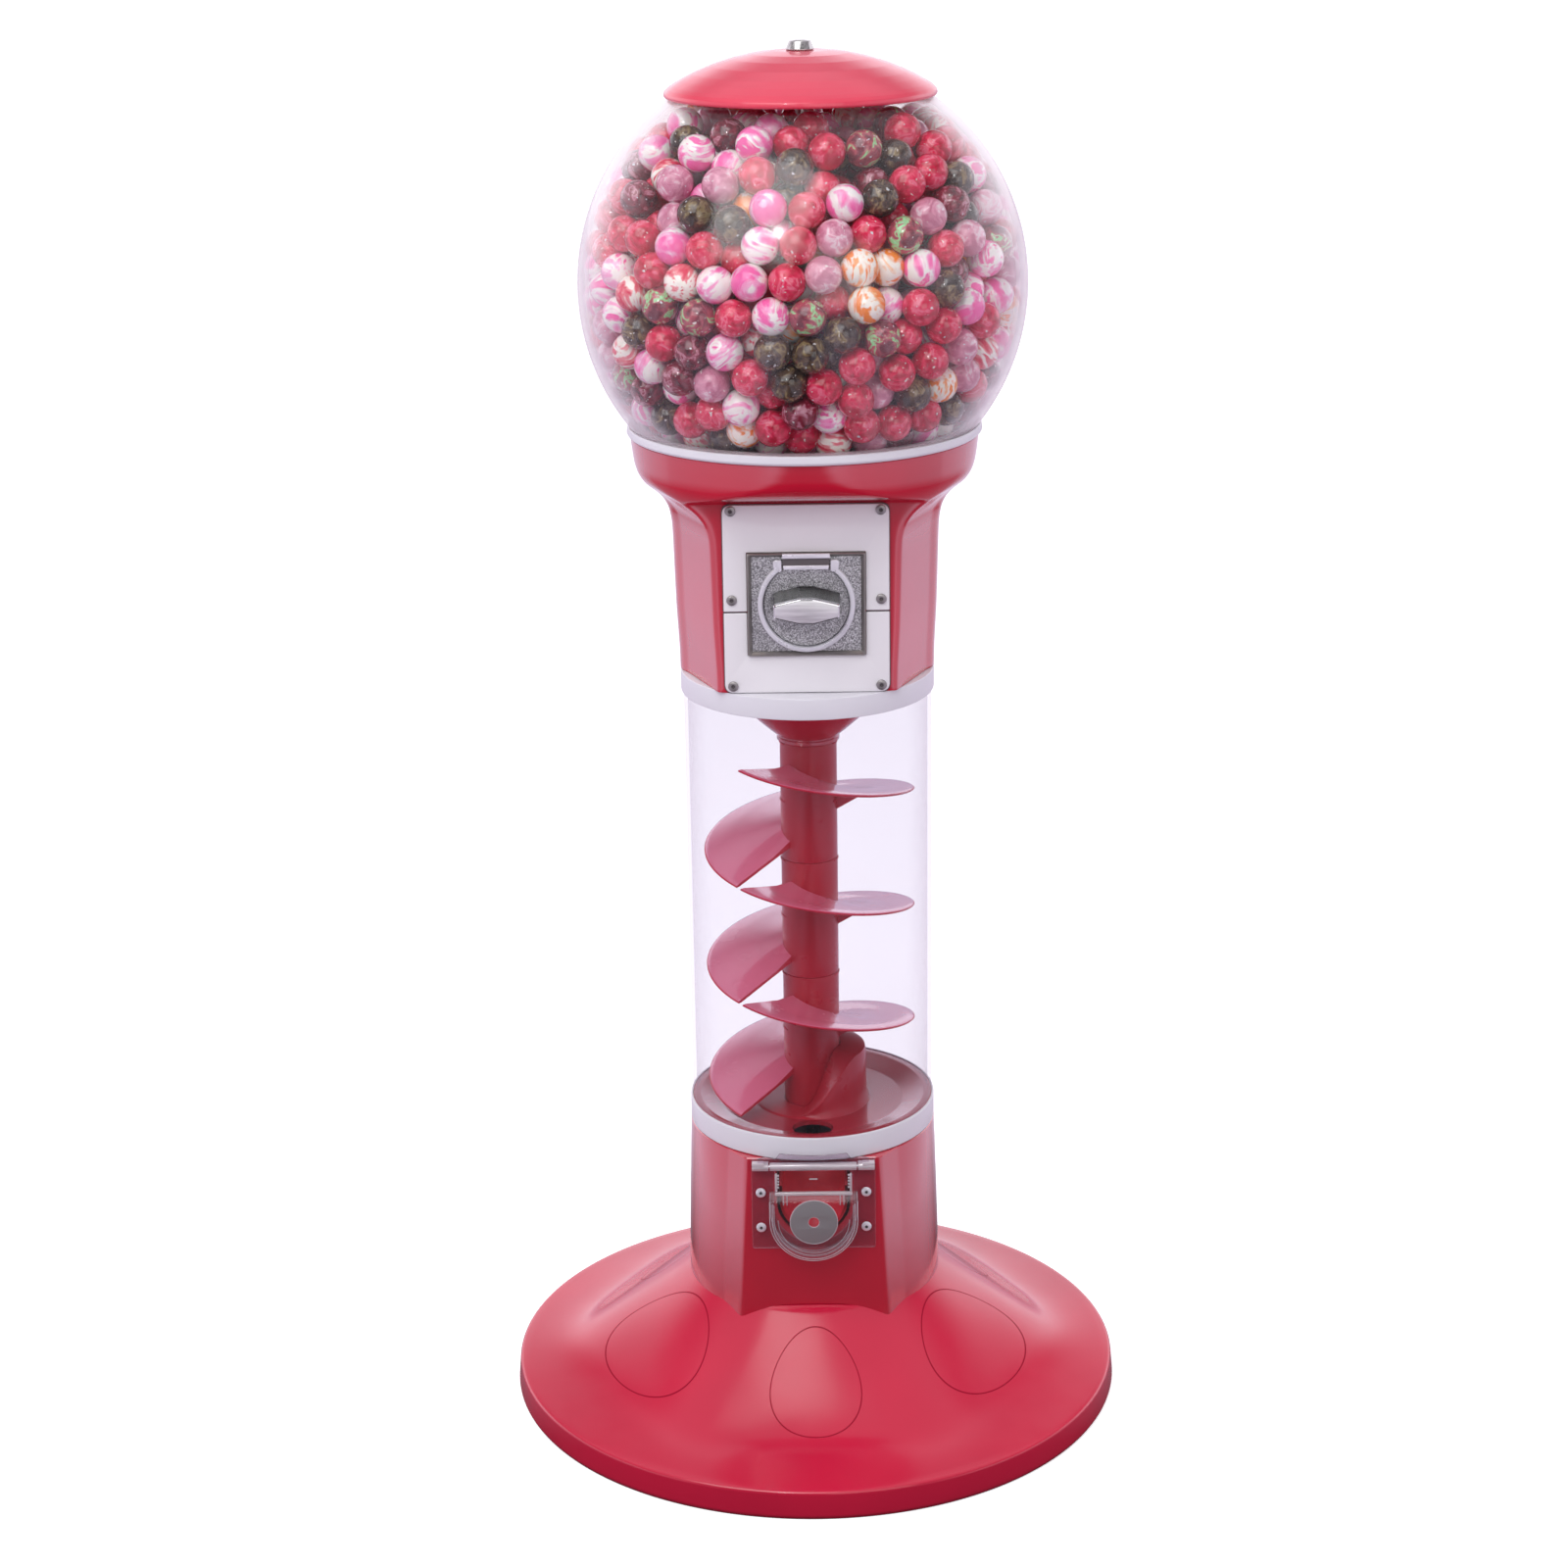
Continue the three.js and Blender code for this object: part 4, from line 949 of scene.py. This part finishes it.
def make_housing():
    angles, wall = full_turn(720, -math.pi), 3.5

    def row(z, inset=0.0):
        return around_z(soften(housing_section(angles, z), 1.5) - inset, angles, z)

    z0, z1 = 600.0, high("mechanism_housing")[2]
    levels = np.concatenate([np.linspace(603, 710, 16), np.linspace(715, 741, 14), np.linspace(742.4, 758, 34),
                             np.linspace(760, z1 - 2, 12)])
    rows = [row(z0 - 0.1, 3), row(z0 - 0.1, 0.3), row(z0 + 0.5)]
    rows += [row(z) for z in levels]
    rows += [row(z1 - 0.5), row(z1, 0.6), row(z1, 3)]
    rows += [row(z + 2.0, wall) for z in np.linspace(z1 - 6, 742, 30)]
    rows += [row(z, wall) for z in (740, 730, 715, 700, 650)]
    place(loft("housing_shell", rows, along=True, sharp=40), "stand", "red_shell", "shell", "mechanism_housing")


# The split between the plates, and how far the near-black sheet of painted shade reaches past each plate's edge.
SEAM, SHADE_SHEET_PROUD = 0.9, 0.7


def make_front_plates():
    """Two plates round the coin mechanism, each on a near-black sheet that shows as a line at its edge: painted shade
    of the gap round the plate and at the split.
    """
    window_x = high("coin_bezel")[0] + 0.3
    half = high("upper_front_plate")[0]
    for node in ("upper_front_plate", "lower_front_plate"):
        above = node == "upper_front_plate"
        edge_z, split_z = (high(node)[2], low(node)[2]) if above else (low(node)[2], high(node)[2])
        window_edge = high("coin_bezel")[2] + 0.3 if above else low("coin_bezel")[2] - 0.3
        away = 1 if above else -1
        seam_z = split_z + away * SEAM / 2

        def outline(x, z, seam):
            corners = [(-x, seam), (-window_x, seam), (-window_x, window_edge), (window_x, window_edge),
                       (window_x, seam), (x, seam), (x, z), (-x, z)]
            return rounded(corners, [0.8, 0.8, 0.5, 0.5, 0.8, 0.8, 7, 7], 8)

        front, back = low(node)[1], high(node)[1]
        plate = slab(node + "_sheet", outline(half, edge_z, seam_z), front, back, 0.6)
        place(plate, "stand", "front_plate", "plate", node)
        # The near-black sheet shows only as a line round the plate: painted shade in the gap.
        wider = outline(half + SHADE_SHEET_PROUD, edge_z + away * SHADE_SHEET_PROUD, split_z)
        place(slab(node + "_gasket", wider, back - 0.8, back + 0.1, 0.1), "stand", "zinc", "painted_shade_black")


def screw_object(name, x, z, y_face, head, hexagon):
    """A button head with a six-sided socket, facing -Y."""
    height, shank_r, shank = 1.55, 1.8, 2.0
    back = y_face + height
    angles = full_turn(48)
    six = np.cos(math.pi / 6) / np.cos((angles % (math.pi / 3)) - math.pi / 6)
    profile = [(0, back + shank), (shank_r, back + shank), (shank_r, back), (head, back),
               (head, back - 0.35 * height), (head * 0.93, back - 0.68 * height),
               (head * 0.75, back - 0.9 * height), (head * 0.55, y_face)]
    socket = [(1.06, y_face), (1.0, y_face + 0.15), (0.98, y_face + 1.0), (0.0, y_face + 1.3)]
    rings = [around_y(x, z, radius, angles, y) for radius, y in profile]
    rings += [around_y(x, z, hexagon * factor * six, angles, y) for factor, y in socket]
    return loft(name, rings, sharp=30)


def make_screws():
    for node in sorted(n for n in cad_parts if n.startswith(("plate_screw_", "bracket_screw_"))):
        centre = (low(node) + high(node)) / 2
        head = (high(node)[0] - low(node)[0]) / 2
        on_bracket = node.startswith("bracket")
        screw = screw_object(node + "_head", centre[0], centre[2], low(node)[1] + 0.05, head,
                             1.3 if on_bracket else 1.6)
        paint(screw, "satin" if on_bracket else "dull_steel", "painted_shade_black")
        # The socket's bottom takes the near-black paint: painted shade in the recess.
        for polygon in screw.data.polygons:
            middle = polygon.center / MM
            off_axis = math.hypot(middle.x - centre[0], middle.z - centre[2])
            if off_axis < 1.4 and middle.y < low(node)[1] + 3:
                polygon.material_index = 1
        place(screw, "stand", "steel", None, node)


# ---------------------------------------------------------------- coin mechanism

SHAFT_Z = 668.0
RING_OUTER, RING_INNER = 36, 31.9
SLOT_HALF = 22.5                            # half the gap in the escutcheon ring for the coin slot


def rectangle(x0, x1, z0, z1, radius):
    return rounded([(x0, z0), (x1, z0), (x1, z1), (x0, z1)], radius, 3)


def make_coin_mechanism():
    lo, hi = low("coin_bezel"), high("coin_bezel")
    rings = []
    for inset, y in ((0, -76), (0, -82.2), (0.5, -82.8), (1.1, -82.8), (2.8, -80.2), (3.0, -76)):
        outline = rectangle(-hi[0] + inset, hi[0] - inset, lo[2] + inset, hi[2] - inset, 1.6)
        rings.append([(x, y, z) for x, z in outline])
    place(loft("bezel_frame", rings, along=True, sharp=30), "stand", "zinc", "zinc_smooth", "coin_bezel")

    lo, hi = low("coin_mech_plate"), high("coin_mech_plate")
    plate = slab("mech_plate_face", rectangle(lo[0], hi[0], lo[2], hi[2], 1.0), lo[1], lo[1] + 3, 0.4)
    place(plate, "stand", "zinc", "zinc", "coin_mech_plate")

    front, back = low("escutcheon_ring")[1], high("escutcheon_ring")[1]
    lo, hi = low("coin_slot_block"), high("coin_slot_block")
    gap = math.asin(SLOT_HALF / RING_OUTER)
    section = rounded([(RING_INNER, back), (RING_OUTER, back), (RING_OUTER, front + 1.2), (35.2, front),
                       (32.7, front), (RING_INNER, front + 1.2)], 0.5, 3)
    rings = [[(r * math.cos(a), y, SHAFT_Z + r * math.sin(a)) for r, y in section]
             for a in np.linspace(TURN / 4 + gap, TURN * 5 / 4 - gap, 120)]
    parts = [loft("escutcheon_band", rings, caps=True, sharp=40)]
    for side in (-1, 1):
        inner_x = side * (hi[0] + 0.4)
        corners = [(inner_x, lo[2] - 1.2), (side * 19.4, lo[2] - 2.6), (side * 23.6, lo[2] - 0.6),
                   (side * 24.4, hi[2] - 6.6), (side * 22.6, hi[2] - 5.2), (inner_x, hi[2] - 5.2)]
        parts.append(slab("shoulder", rounded(corners, 0.8, 3), front, back, 0.5))
    place(join("escutcheon_ring_band", parts), "stand", "chrome", "satin", "escutcheon_ring")

    outline = rectangle(lo[0], hi[0], hi[2] - 3.4, hi[2], [0.3, 0.3, 1.0, 1.0])
    bar = slab("slot_bar", outline, lo[1], lo[1] + 2.4, 0.5)
    corners = [(lo[0] + 1.2, lo[2]), (hi[0] - 1.2, lo[2]), (hi[0] - 0.6, lo[2] + 3.2), (lo[0] + 0.6, lo[2] + 3.2)]
    lip = slab("slot_lip", rounded(corners, 0.8, 3), lo[1], lo[1] + 2.4, 0.7)
    # The throat is near black: painted shade inside the coin slot.
    throat = box("slot_throat", (lo[0] + 0.2, hi[0] - 0.2), (lo[1] + 1.8, hi[1]), (lo[2] + 0.3, hi[2] - 0.3), 0.3)
    parts = [paint(bar, "satin"), paint(throat, "painted_shade_black"), paint(lip, "satin")]
    place(join("slot_housing", parts), "stand", "chrome", None, "coin_slot_block")

    profile = [(31.5, -79.8), (31.5, -81.2), (30.9, -81.7), (29.6, -81.5), (27, -81.4), (0.01, -81.4)]
    rings = [around_y(0, SHAFT_Z, radius, full_turn(128), y) for radius, y in profile]
    place(loft("dial_face", rings, caps=True, sharp=30), "drive", "zinc", "zinc", "dial")


def make_handle():
    """The grip: a bar with a brushed face and sides that spread in a hollow curve to its foot on the dial."""
    face_y, foot_y = -103.8, -100
    stations = [(-82.3, 24.7, 13.8, 8.6), (-83.5, 24.6, 12.9, 7.8), (-88, 24.4, 10.8, 6.7), (-94, 24.3, 10.0, 5.6),
                (-100, 24.4, 9.8, 5.2), (-102.6, 24.4, 9.7, 5.1), (-103.6, 23.9, 9.2, 4.6), (-103.95, 23.2, 8.5, 4.0)]
    rings = []
    for y, length, waist, tip in stations:
        corners = [(-length, -tip), (-length * 0.2, -waist), (length * 0.2, -waist), (length, -tip),
                   (length, tip), (length * 0.2, waist), (-length * 0.2, waist), (-length, tip)]
        outline = rounded(corners, [2.2, 4, 4, 2.2, 2.2, 4, 4, 2.2], 5)
        rings.append([(x, y, SHAFT_Z + z) for x, z in outline])
    grip = paint(loft("handle_grip", rings, caps=True, sharp=30), "chrome", "brushed_x", "rib")
    # The brushed face is at the front; the back towards the dial is near-black metal, painted shade of the hollow
    # above the grip.
    for polygon in grip.data.polygons:
        if polygon.center.y < face_y * MM:
            polygon.material_index = 1
        elif polygon.center.y > foot_y * MM:
            polygon.material_index = 2
    place(grip, "drive", "chrome", None, "handle")


# ---------------------------------------------------------------- delivery chute

PIN_Y, PIN_Z = -96.5, 223.5
DISC_Z = 184.0
VISOR_LOW, VISOR_HIGH = 228.0, 236.6


def visor_top(x):
    """Height of the splash visor's edge: a bow in the middle, a step, and a low wing."""
    out = abs(x)
    if out < 26:
        return VISOR_HIGH - 1.0 - 1.6 * math.cos(x / 26 * math.pi / 2)
    if out < 29:
        return VISOR_HIGH - 1.0 - (out - 26) * 1.5
    return VISOR_LOW + 3.0 + 1.6 * math.sin((out - 29) / 14 * math.pi)


def make_chute():
    back = high("chute_bracket")[1]
    front = back - 2.2
    outline = rounded([(-48, 152), (48, 152), (48, 227.8), (-48, 227.8)], [2, 2, 1, 1], 4)
    opening = [(31, 219), (-31, 219)] + lower_half(31, 188, 40)
    parts = [paint(slab("bracket_plate", outline, front, back, 0.35, [opening]), "chute")]
    for side in (-1, 1):
        x = sorted((side * 34.6, side * 47.4))
        solid = [rod_x("knuckle", 3.3, PIN_Y, PIN_Z, *x, bore=1.9),
                 box("knuckle_foot", x, (-94.2, front - 0.05), (220.6, 226.6), 0.5),
                 box("strut", sorted((side * 38, side * 47.4)), (-99.9, -94), (225.2, 227.5), 0.4)]
        # The knuckles, their feet and the struts are pale: painted highlight on clear plastic.
        parts += [paint(part, "bead") for part in solid]
    sheet, upper, lower = [], [], []
    for x in np.linspace(-43, 43, 61):
        top = visor_top(x)
        y = -98.6 - 0.9 * math.cos(x / 43 * math.pi / 2)
        sheet.append([(x, y + 0.5, VISOR_LOW), (x, y + 0.5, top), (x, y - 0.4, top), (x, y - 0.4, VISOR_LOW)])
        upper.append((x, y, top))
        lower.append((x, y, (VISOR_LOW * 2 + top) / 3 + 0.4))
    parts.append(paint(loft("visor", sheet, caps=True, sharp=40), "chute"))
    # The visor's edges carry dark grey lines: painted shade.
    parts += [paint(bead("visor_edge", line, 0.35), "dark_edge_line") for line in (upper, lower[12:-12])]
    place(join("chute_frame", parts), "stand", "clear_chute", None, "chute_bracket")


def make_trough():
    """The chute inside: a smooth trough that falls to the mouth, as thin as its moulding."""
    rings = []
    for t in np.linspace(0, 1, 24):
        y = -42 - 41 * t
        lip = 232 - 43 * t ** 1.2
        top = min(221.5, lip + 12)
        outer, inner = [], []
        for a in np.linspace(0, math.pi, 25):
            outer.append((-26.5 * math.cos(a), y, lip - 28 * math.sin(a)))
            inner.append((24.5 * math.cos(a), y, lip - 26 * math.sin(a)))
        rings.append([(-26.5, y, top)] + outer + [(26.5, y, top), (24.5, y, top)] + inner
                     + [(-24.5, y, top), (-26.5, y, top)])
    floor = loft("chute_floor", rings, around=False, sharp=40)
    wall = slab("chute_back", [(26, 226), (-26, 226)] + lower_half(26, 232, 32), -44, -42, 0.3)
    # The trough and its back wall are in the lighter red: painted light inside the chute.
    parts = [paint(floor, "chute_red_painted_light"), paint(wall, "chute_red_painted_light")]
    place(join("chute_trough", parts), "stand", "red_shell", None, "exit_chute")


def u_ring(radius, top, y):
    """A U-shaped outline round the disc's middle."""
    return [(x, y, z) for x, z in [(radius, top), (-radius, top)] + lower_half(radius, DISC_Z, 40)]


def make_flap():
    """The flap: a clear U-shaped cup below its hinge, with a steel disc in its face."""
    front, back = low("chute_flap")[1], high("chute_flap")[1]
    shells = [(34.4, 201, back), (34.4, 201, front + 3), (33.9, 200.6, front + 1.1), (32.6, 199.5, front + 0.2),
              (31.4, 198.6, front), (0.3, DISC_Z + 0.1, front), (0.3, DISC_Z + 0.1, front + 2.0),
              (30.8, 197.6, front + 2.0), (31.8, 198.4, front + 3.2), (32.3, 198.8, front + 5), (32.3, 198.8, back)]
    cup = loft("cup", [u_ring(*shell) for shell in shells], along=True)
    leaf = box("leaf", (-30, 30), (-98.1, -96.2), (200.6, 222), 0.5)
    # The pale parts and the edge lines round the cup are painted highlights on the clear flap.
    bright = [rod_x("barrel", 3.2, PIN_Y, PIN_Z, -33.7, 33.7, bore=1.9),
              box("rail", (-30, 30), (-99.2, -96.0), (199.6, 202.4), 0.8)]
    for side in (-1, 1):
        for x in (side * 22 - 1.4, side * 22 + 1.4):
            bright.append(box("rib", (x - 0.45, x + 0.45), (-99.8, -98.0), (192, 200.5), 0.25))
        bright.append(box("ear", sorted((side * 28.0, side * 29.8)), (-99.0, -96.2), (203, 218), 0.5))
        for z in np.linspace(206, 216, 5):
            bright.append(box("tooth", sorted((side * 26.6, side * 28.2)), (-98.8, -97.0), (z, z + 1.2), 0.2))
    bright.append(box("catch", (-3.2, 3.2), (-98.6, -97.8), (213, 214), 0.2))
    for radius, y, top in ((34.0, front + 1.2, 200), (32.0, front + 0.2, 198.5), (33.6, back - 0.8, 200),
                           (30.6, front + 3.4, 196), (27.6, front + 2.4, DISC_Z)):
        line = [(x, y, z) for x, z in lower_half(radius, DISC_Z, 41)]
        if top > DISC_Z:
            line = [(-radius, y, top), *line, (radius, y, top)]
        bright.append(bead("cup_edge", line, 0.3))
    parts = [paint(cup, "cup"), paint(leaf, "cup")] + [paint(part, "bead") for part in bright]
    place(join("flap_shell", parts), "flap", "clear_chute", None, "chute_flap")
    hole_r, front, back = 4.4, low("flap_disc")[1], high("flap_disc")[1]
    disc = slab("flap_disc_plate", circle(18, 0, DISC_Z, 96), front, back, 0.3, [circle(hole_r, 0, DISC_Z, 48)])
    place(disc, "flap", "disc_steel", "disc", "flap_disc")
    # Pale lines round the disc and its hole: painted highlight.
    rims = [bead("disc_rim", [(x, front + 0.3, z) for x, z in circle(radius, 0, DISC_Z, 97, closed=False)], 0.35)
            for radius in (18.3, hole_r)]
    place(join("flap_disc_rims", rims), "flap", "clear_chute", "bead")
    place(rod_x("flap_pin_bar", 1.5, PIN_Y, PIN_Z, -47, 47), "stand", "steel", "chrome", "flap_pin")


# ---------------------------------------------------------------- globe, lid and gumballs

GLOBE_R, GLOBE_WALL, GLOBE_Z = 166.0, 3.0, 891.0
NECK_R = 120                                # the opening that the balls go down through
BALL_R = 13.5


def globe_arc(radius, z0, z1):
    a, b = (math.asin((z - GLOBE_Z) / radius) for z in (z0, z1))
    return [(radius * math.cos(t), GLOBE_Z + radius * math.sin(t)) for t in np.linspace(a, b, 60)]


def make_globe():
    z0, z1 = low("globe")[2], high("globe")[2]
    profile = globe_arc(GLOBE_R, z0, z1) + globe_arc(GLOBE_R - GLOBE_WALL, z0, z1)[::-1]
    place(lathe("globe_shell", profile, 160, sharp=60), "stand", "clear_globe", "globe", "globe")


def make_lid():
    z0 = low("lid")[2]
    outer = [(98.2, z0), (99.4, z0 + 1.6), (98.9, z0 + 4.2), (96.6, z0 + 6.6), (93.5, 1036.0), (86, 1040.2),
             (78, 1044.2), (65, 1049.6), (50, 1054.3), (35, 1057.7), (20, 1059.4), (8.4, 1059.8)]
    inner = [(8.4, 1056.4), (35, 1054.2), (57, 1048.8), (72, 1043), (84, 1037), (91, 1032.6), (91, z0)]
    place(lathe("lid_dome", rounded(outer + inner, 1.6, 4), 160, sharp=50), "lid", "red_shell", "lid", "lid")
    foot, top, reach = 1060.0, high("lock_body")[2], high("lock_body")[0]
    body = rounded([(5.4, 1047), (8, 1047), (8, foot), (reach, foot), (reach, foot + 0.8), (7.8, top), (5.4, top)],
                   [0, 0, 0.1, 0.3, 0.3, 0.6, 0.2], 3)
    place(lathe("lock_barrel", body, 16, sharp=20), "lid", "chrome", "steel", "lock_body")
    face = high("lock_plug")[2]
    plug = lathe("lock_plug_face", [(0.01, 1048), (5, 1048), (5, face - 0.4), (4.6, face), (0.01, face)], 48,
                 closed=False)
    key = box("key_tool", (-0.7, 0.7), (-2.6, 2.6), (face - 4.4, face + 2.6), 0.1)
    place(cut(plug, key), "lock", "chrome", "steel", "lock_plug")


def pack_balls(count, seed):
    """Centres of balls settled against each other and the globe by pushing overlaps apart."""
    steps, give, sink = 260, 0.42, 0.25
    random = np.random.default_rng(seed)
    middle = np.array((0, 0, GLOBE_Z))
    reach = GLOBE_R - 3.3 - BALL_R          # a hair inside the globe's wall
    floor_z, roof_z = 780.5 + BALL_R, 1023 - BALL_R
    points = []
    while len(points) < count:
        p = random.uniform(-reach, reach, 3) + middle
        if np.linalg.norm(p - middle) < reach and floor_z < p[2] < roof_z:
            points.append(p)
    points = np.array(points)
    for step in range(steps):
        difference = points[:, None, :] - points[None, :, :]
        distance = np.sqrt((difference ** 2).sum(2)) + np.eye(count) * 1e3
        overlap = np.maximum(0, 2 * BALL_R - distance)
        points = points + give * (difference * (overlap / distance)[:, :, None]).sum(1)
        points[:, 2] -= sink * (1 - step / steps)
        off = points - middle
        length = np.linalg.norm(off, axis=1)
        over = length > reach
        points[over] = middle + off[over] * (reach / length[over])[:, None]
        points[:, 2] = np.clip(points[:, 2], floor_z, roof_z)
        rim = np.hypot(points[:, 0], points[:, 1])
        neck = (points[:, 2] < 789 + BALL_R) & (rim > NECK_R - BALL_R)
        points[neck, :2] *= ((NECK_R - BALL_R) / rim[neck])[:, None]
    return points


BALL_KINDS = [
    ("pink_swirl", 0.27, swirled("candy_pink", (0.98, 0.15, 0.46), (0.98, 0.50, 0.72), (0.98, 0.93, 0.90))),
    ("red_swirl", 0.08, swirled("candy_red", (0.75, 0.02, 0.08), (0.88, 0.30, 0.33), (0.97, 0.92, 0.84))),
    ("orange_swirl", 0.04, swirled("candy_orange", (0.98, 0.26, 0.02), (0.98, 0.55, 0.3), (0.98, 0.93, 0.84))),
    ("green_fleck", 0.06, jelly("candy_green", (0.55, 0.10, 0.14), (0.20, 0.04, 0.06), (0.35, 1.0, 0.45), 0.15)),
    ("ruby", 0.33, jelly("candy_ruby", (0.90, 0.02, 0.10), (0.55, 0.005, 0.04), (0.98, 0.20, 0.32), 0.15)),
    ("olive", 0.10, jelly("candy_olive", (0.12, 0.07, 0.04), (0.03, 0.015, 0.01), (0.35, 0.26, 0.12), 0.2)),
    ("rose_pearl", 0.06, jelly("candy_rose", (0.85, 0.38, 0.52), (0.62, 0.20, 0.32), (0.95, 0.78, 0.84), 0.1)),
    ("garnet", 0.06, jelly("candy_garnet", (0.30, 0.01, 0.04), (0.10, 0.005, 0.015), (0.7, 0.3, 0.4), 0.2)),
]


def make_gumballs():
    """The balls near the outside of the heap; those deeper in can't be seen."""
    seen_depth = 62
    centres = pack_balls(1010, 7)
    random = np.random.default_rng(11)
    shares = np.cumsum([share for _, share, _ in BALL_KINDS])
    kinds = np.searchsorted(shares / shares[-1], random.random(len(centres)))
    edit = bmesh.new()
    bmesh.ops.create_icosphere(edit, subdivisions=3, radius=BALL_R)
    sphere = np.array([v.co[:] for v in edit.verts])
    triangles = np.array([[v.index for v in f.verts] for f in edit.faces])
    edit.free()
    depth = GLOBE_R - np.linalg.norm(centres - (0, 0, GLOBE_Z), axis=1)
    depth = np.minimum(depth, np.minimum(centres[:, 2] - 780, 1024 - centres[:, 2]))
    for kind, (name, _, material) in enumerate(BALL_KINDS):
        chosen = centres[(kinds == kind) & (depth < seen_depth)]
        verts = np.concatenate([sphere + c for c in chosen])
        faces = np.concatenate([triangles + i * len(sphere) for i in range(len(chosen))])
        mesh = bpy.data.meshes.new("gumballs_" + name)
        mesh.from_pydata((verts * MM).tolist(), [], faces.tolist())
        mesh.shade_smooth()
        mesh.materials.append(material)
        place(link(mesh.name, mesh), "stand", "gumballs", None, "gumballs")


# ---------------------------------------------------------------- inside pieces

INSIDE = {
    "steel": ["rod_washer", "rod_nut", "center_rod", "handle_shaft", "ratchet_wheel", "drive_pinion", "pawl",
              "pawl_pin", "idler_axle"],
    "sheet": ["coin_bin", "wheel_deck", "hopper_plate", "mechanism_body"],
    "moulding": ["gumball_wheel", "agitator", "idler_gear", "drop_tube"],
}


def dress_inside():
    """Materials for the pieces inside, which are shown as the frame has them."""
    for key, nodes in INSIDE.items():
        for node in nodes:
            paint(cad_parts[node], key)


make_base()
make_pedestal()
make_rings_and_tube()
make_spiral()
make_spiral_floor()
make_spiral_ceiling()
make_housing()
make_front_plates()
make_screws()
make_coin_mechanism()
make_handle()
make_chute()
make_flap()
make_trough()
make_globe()
make_lid()
make_gumballs()
dress_inside()
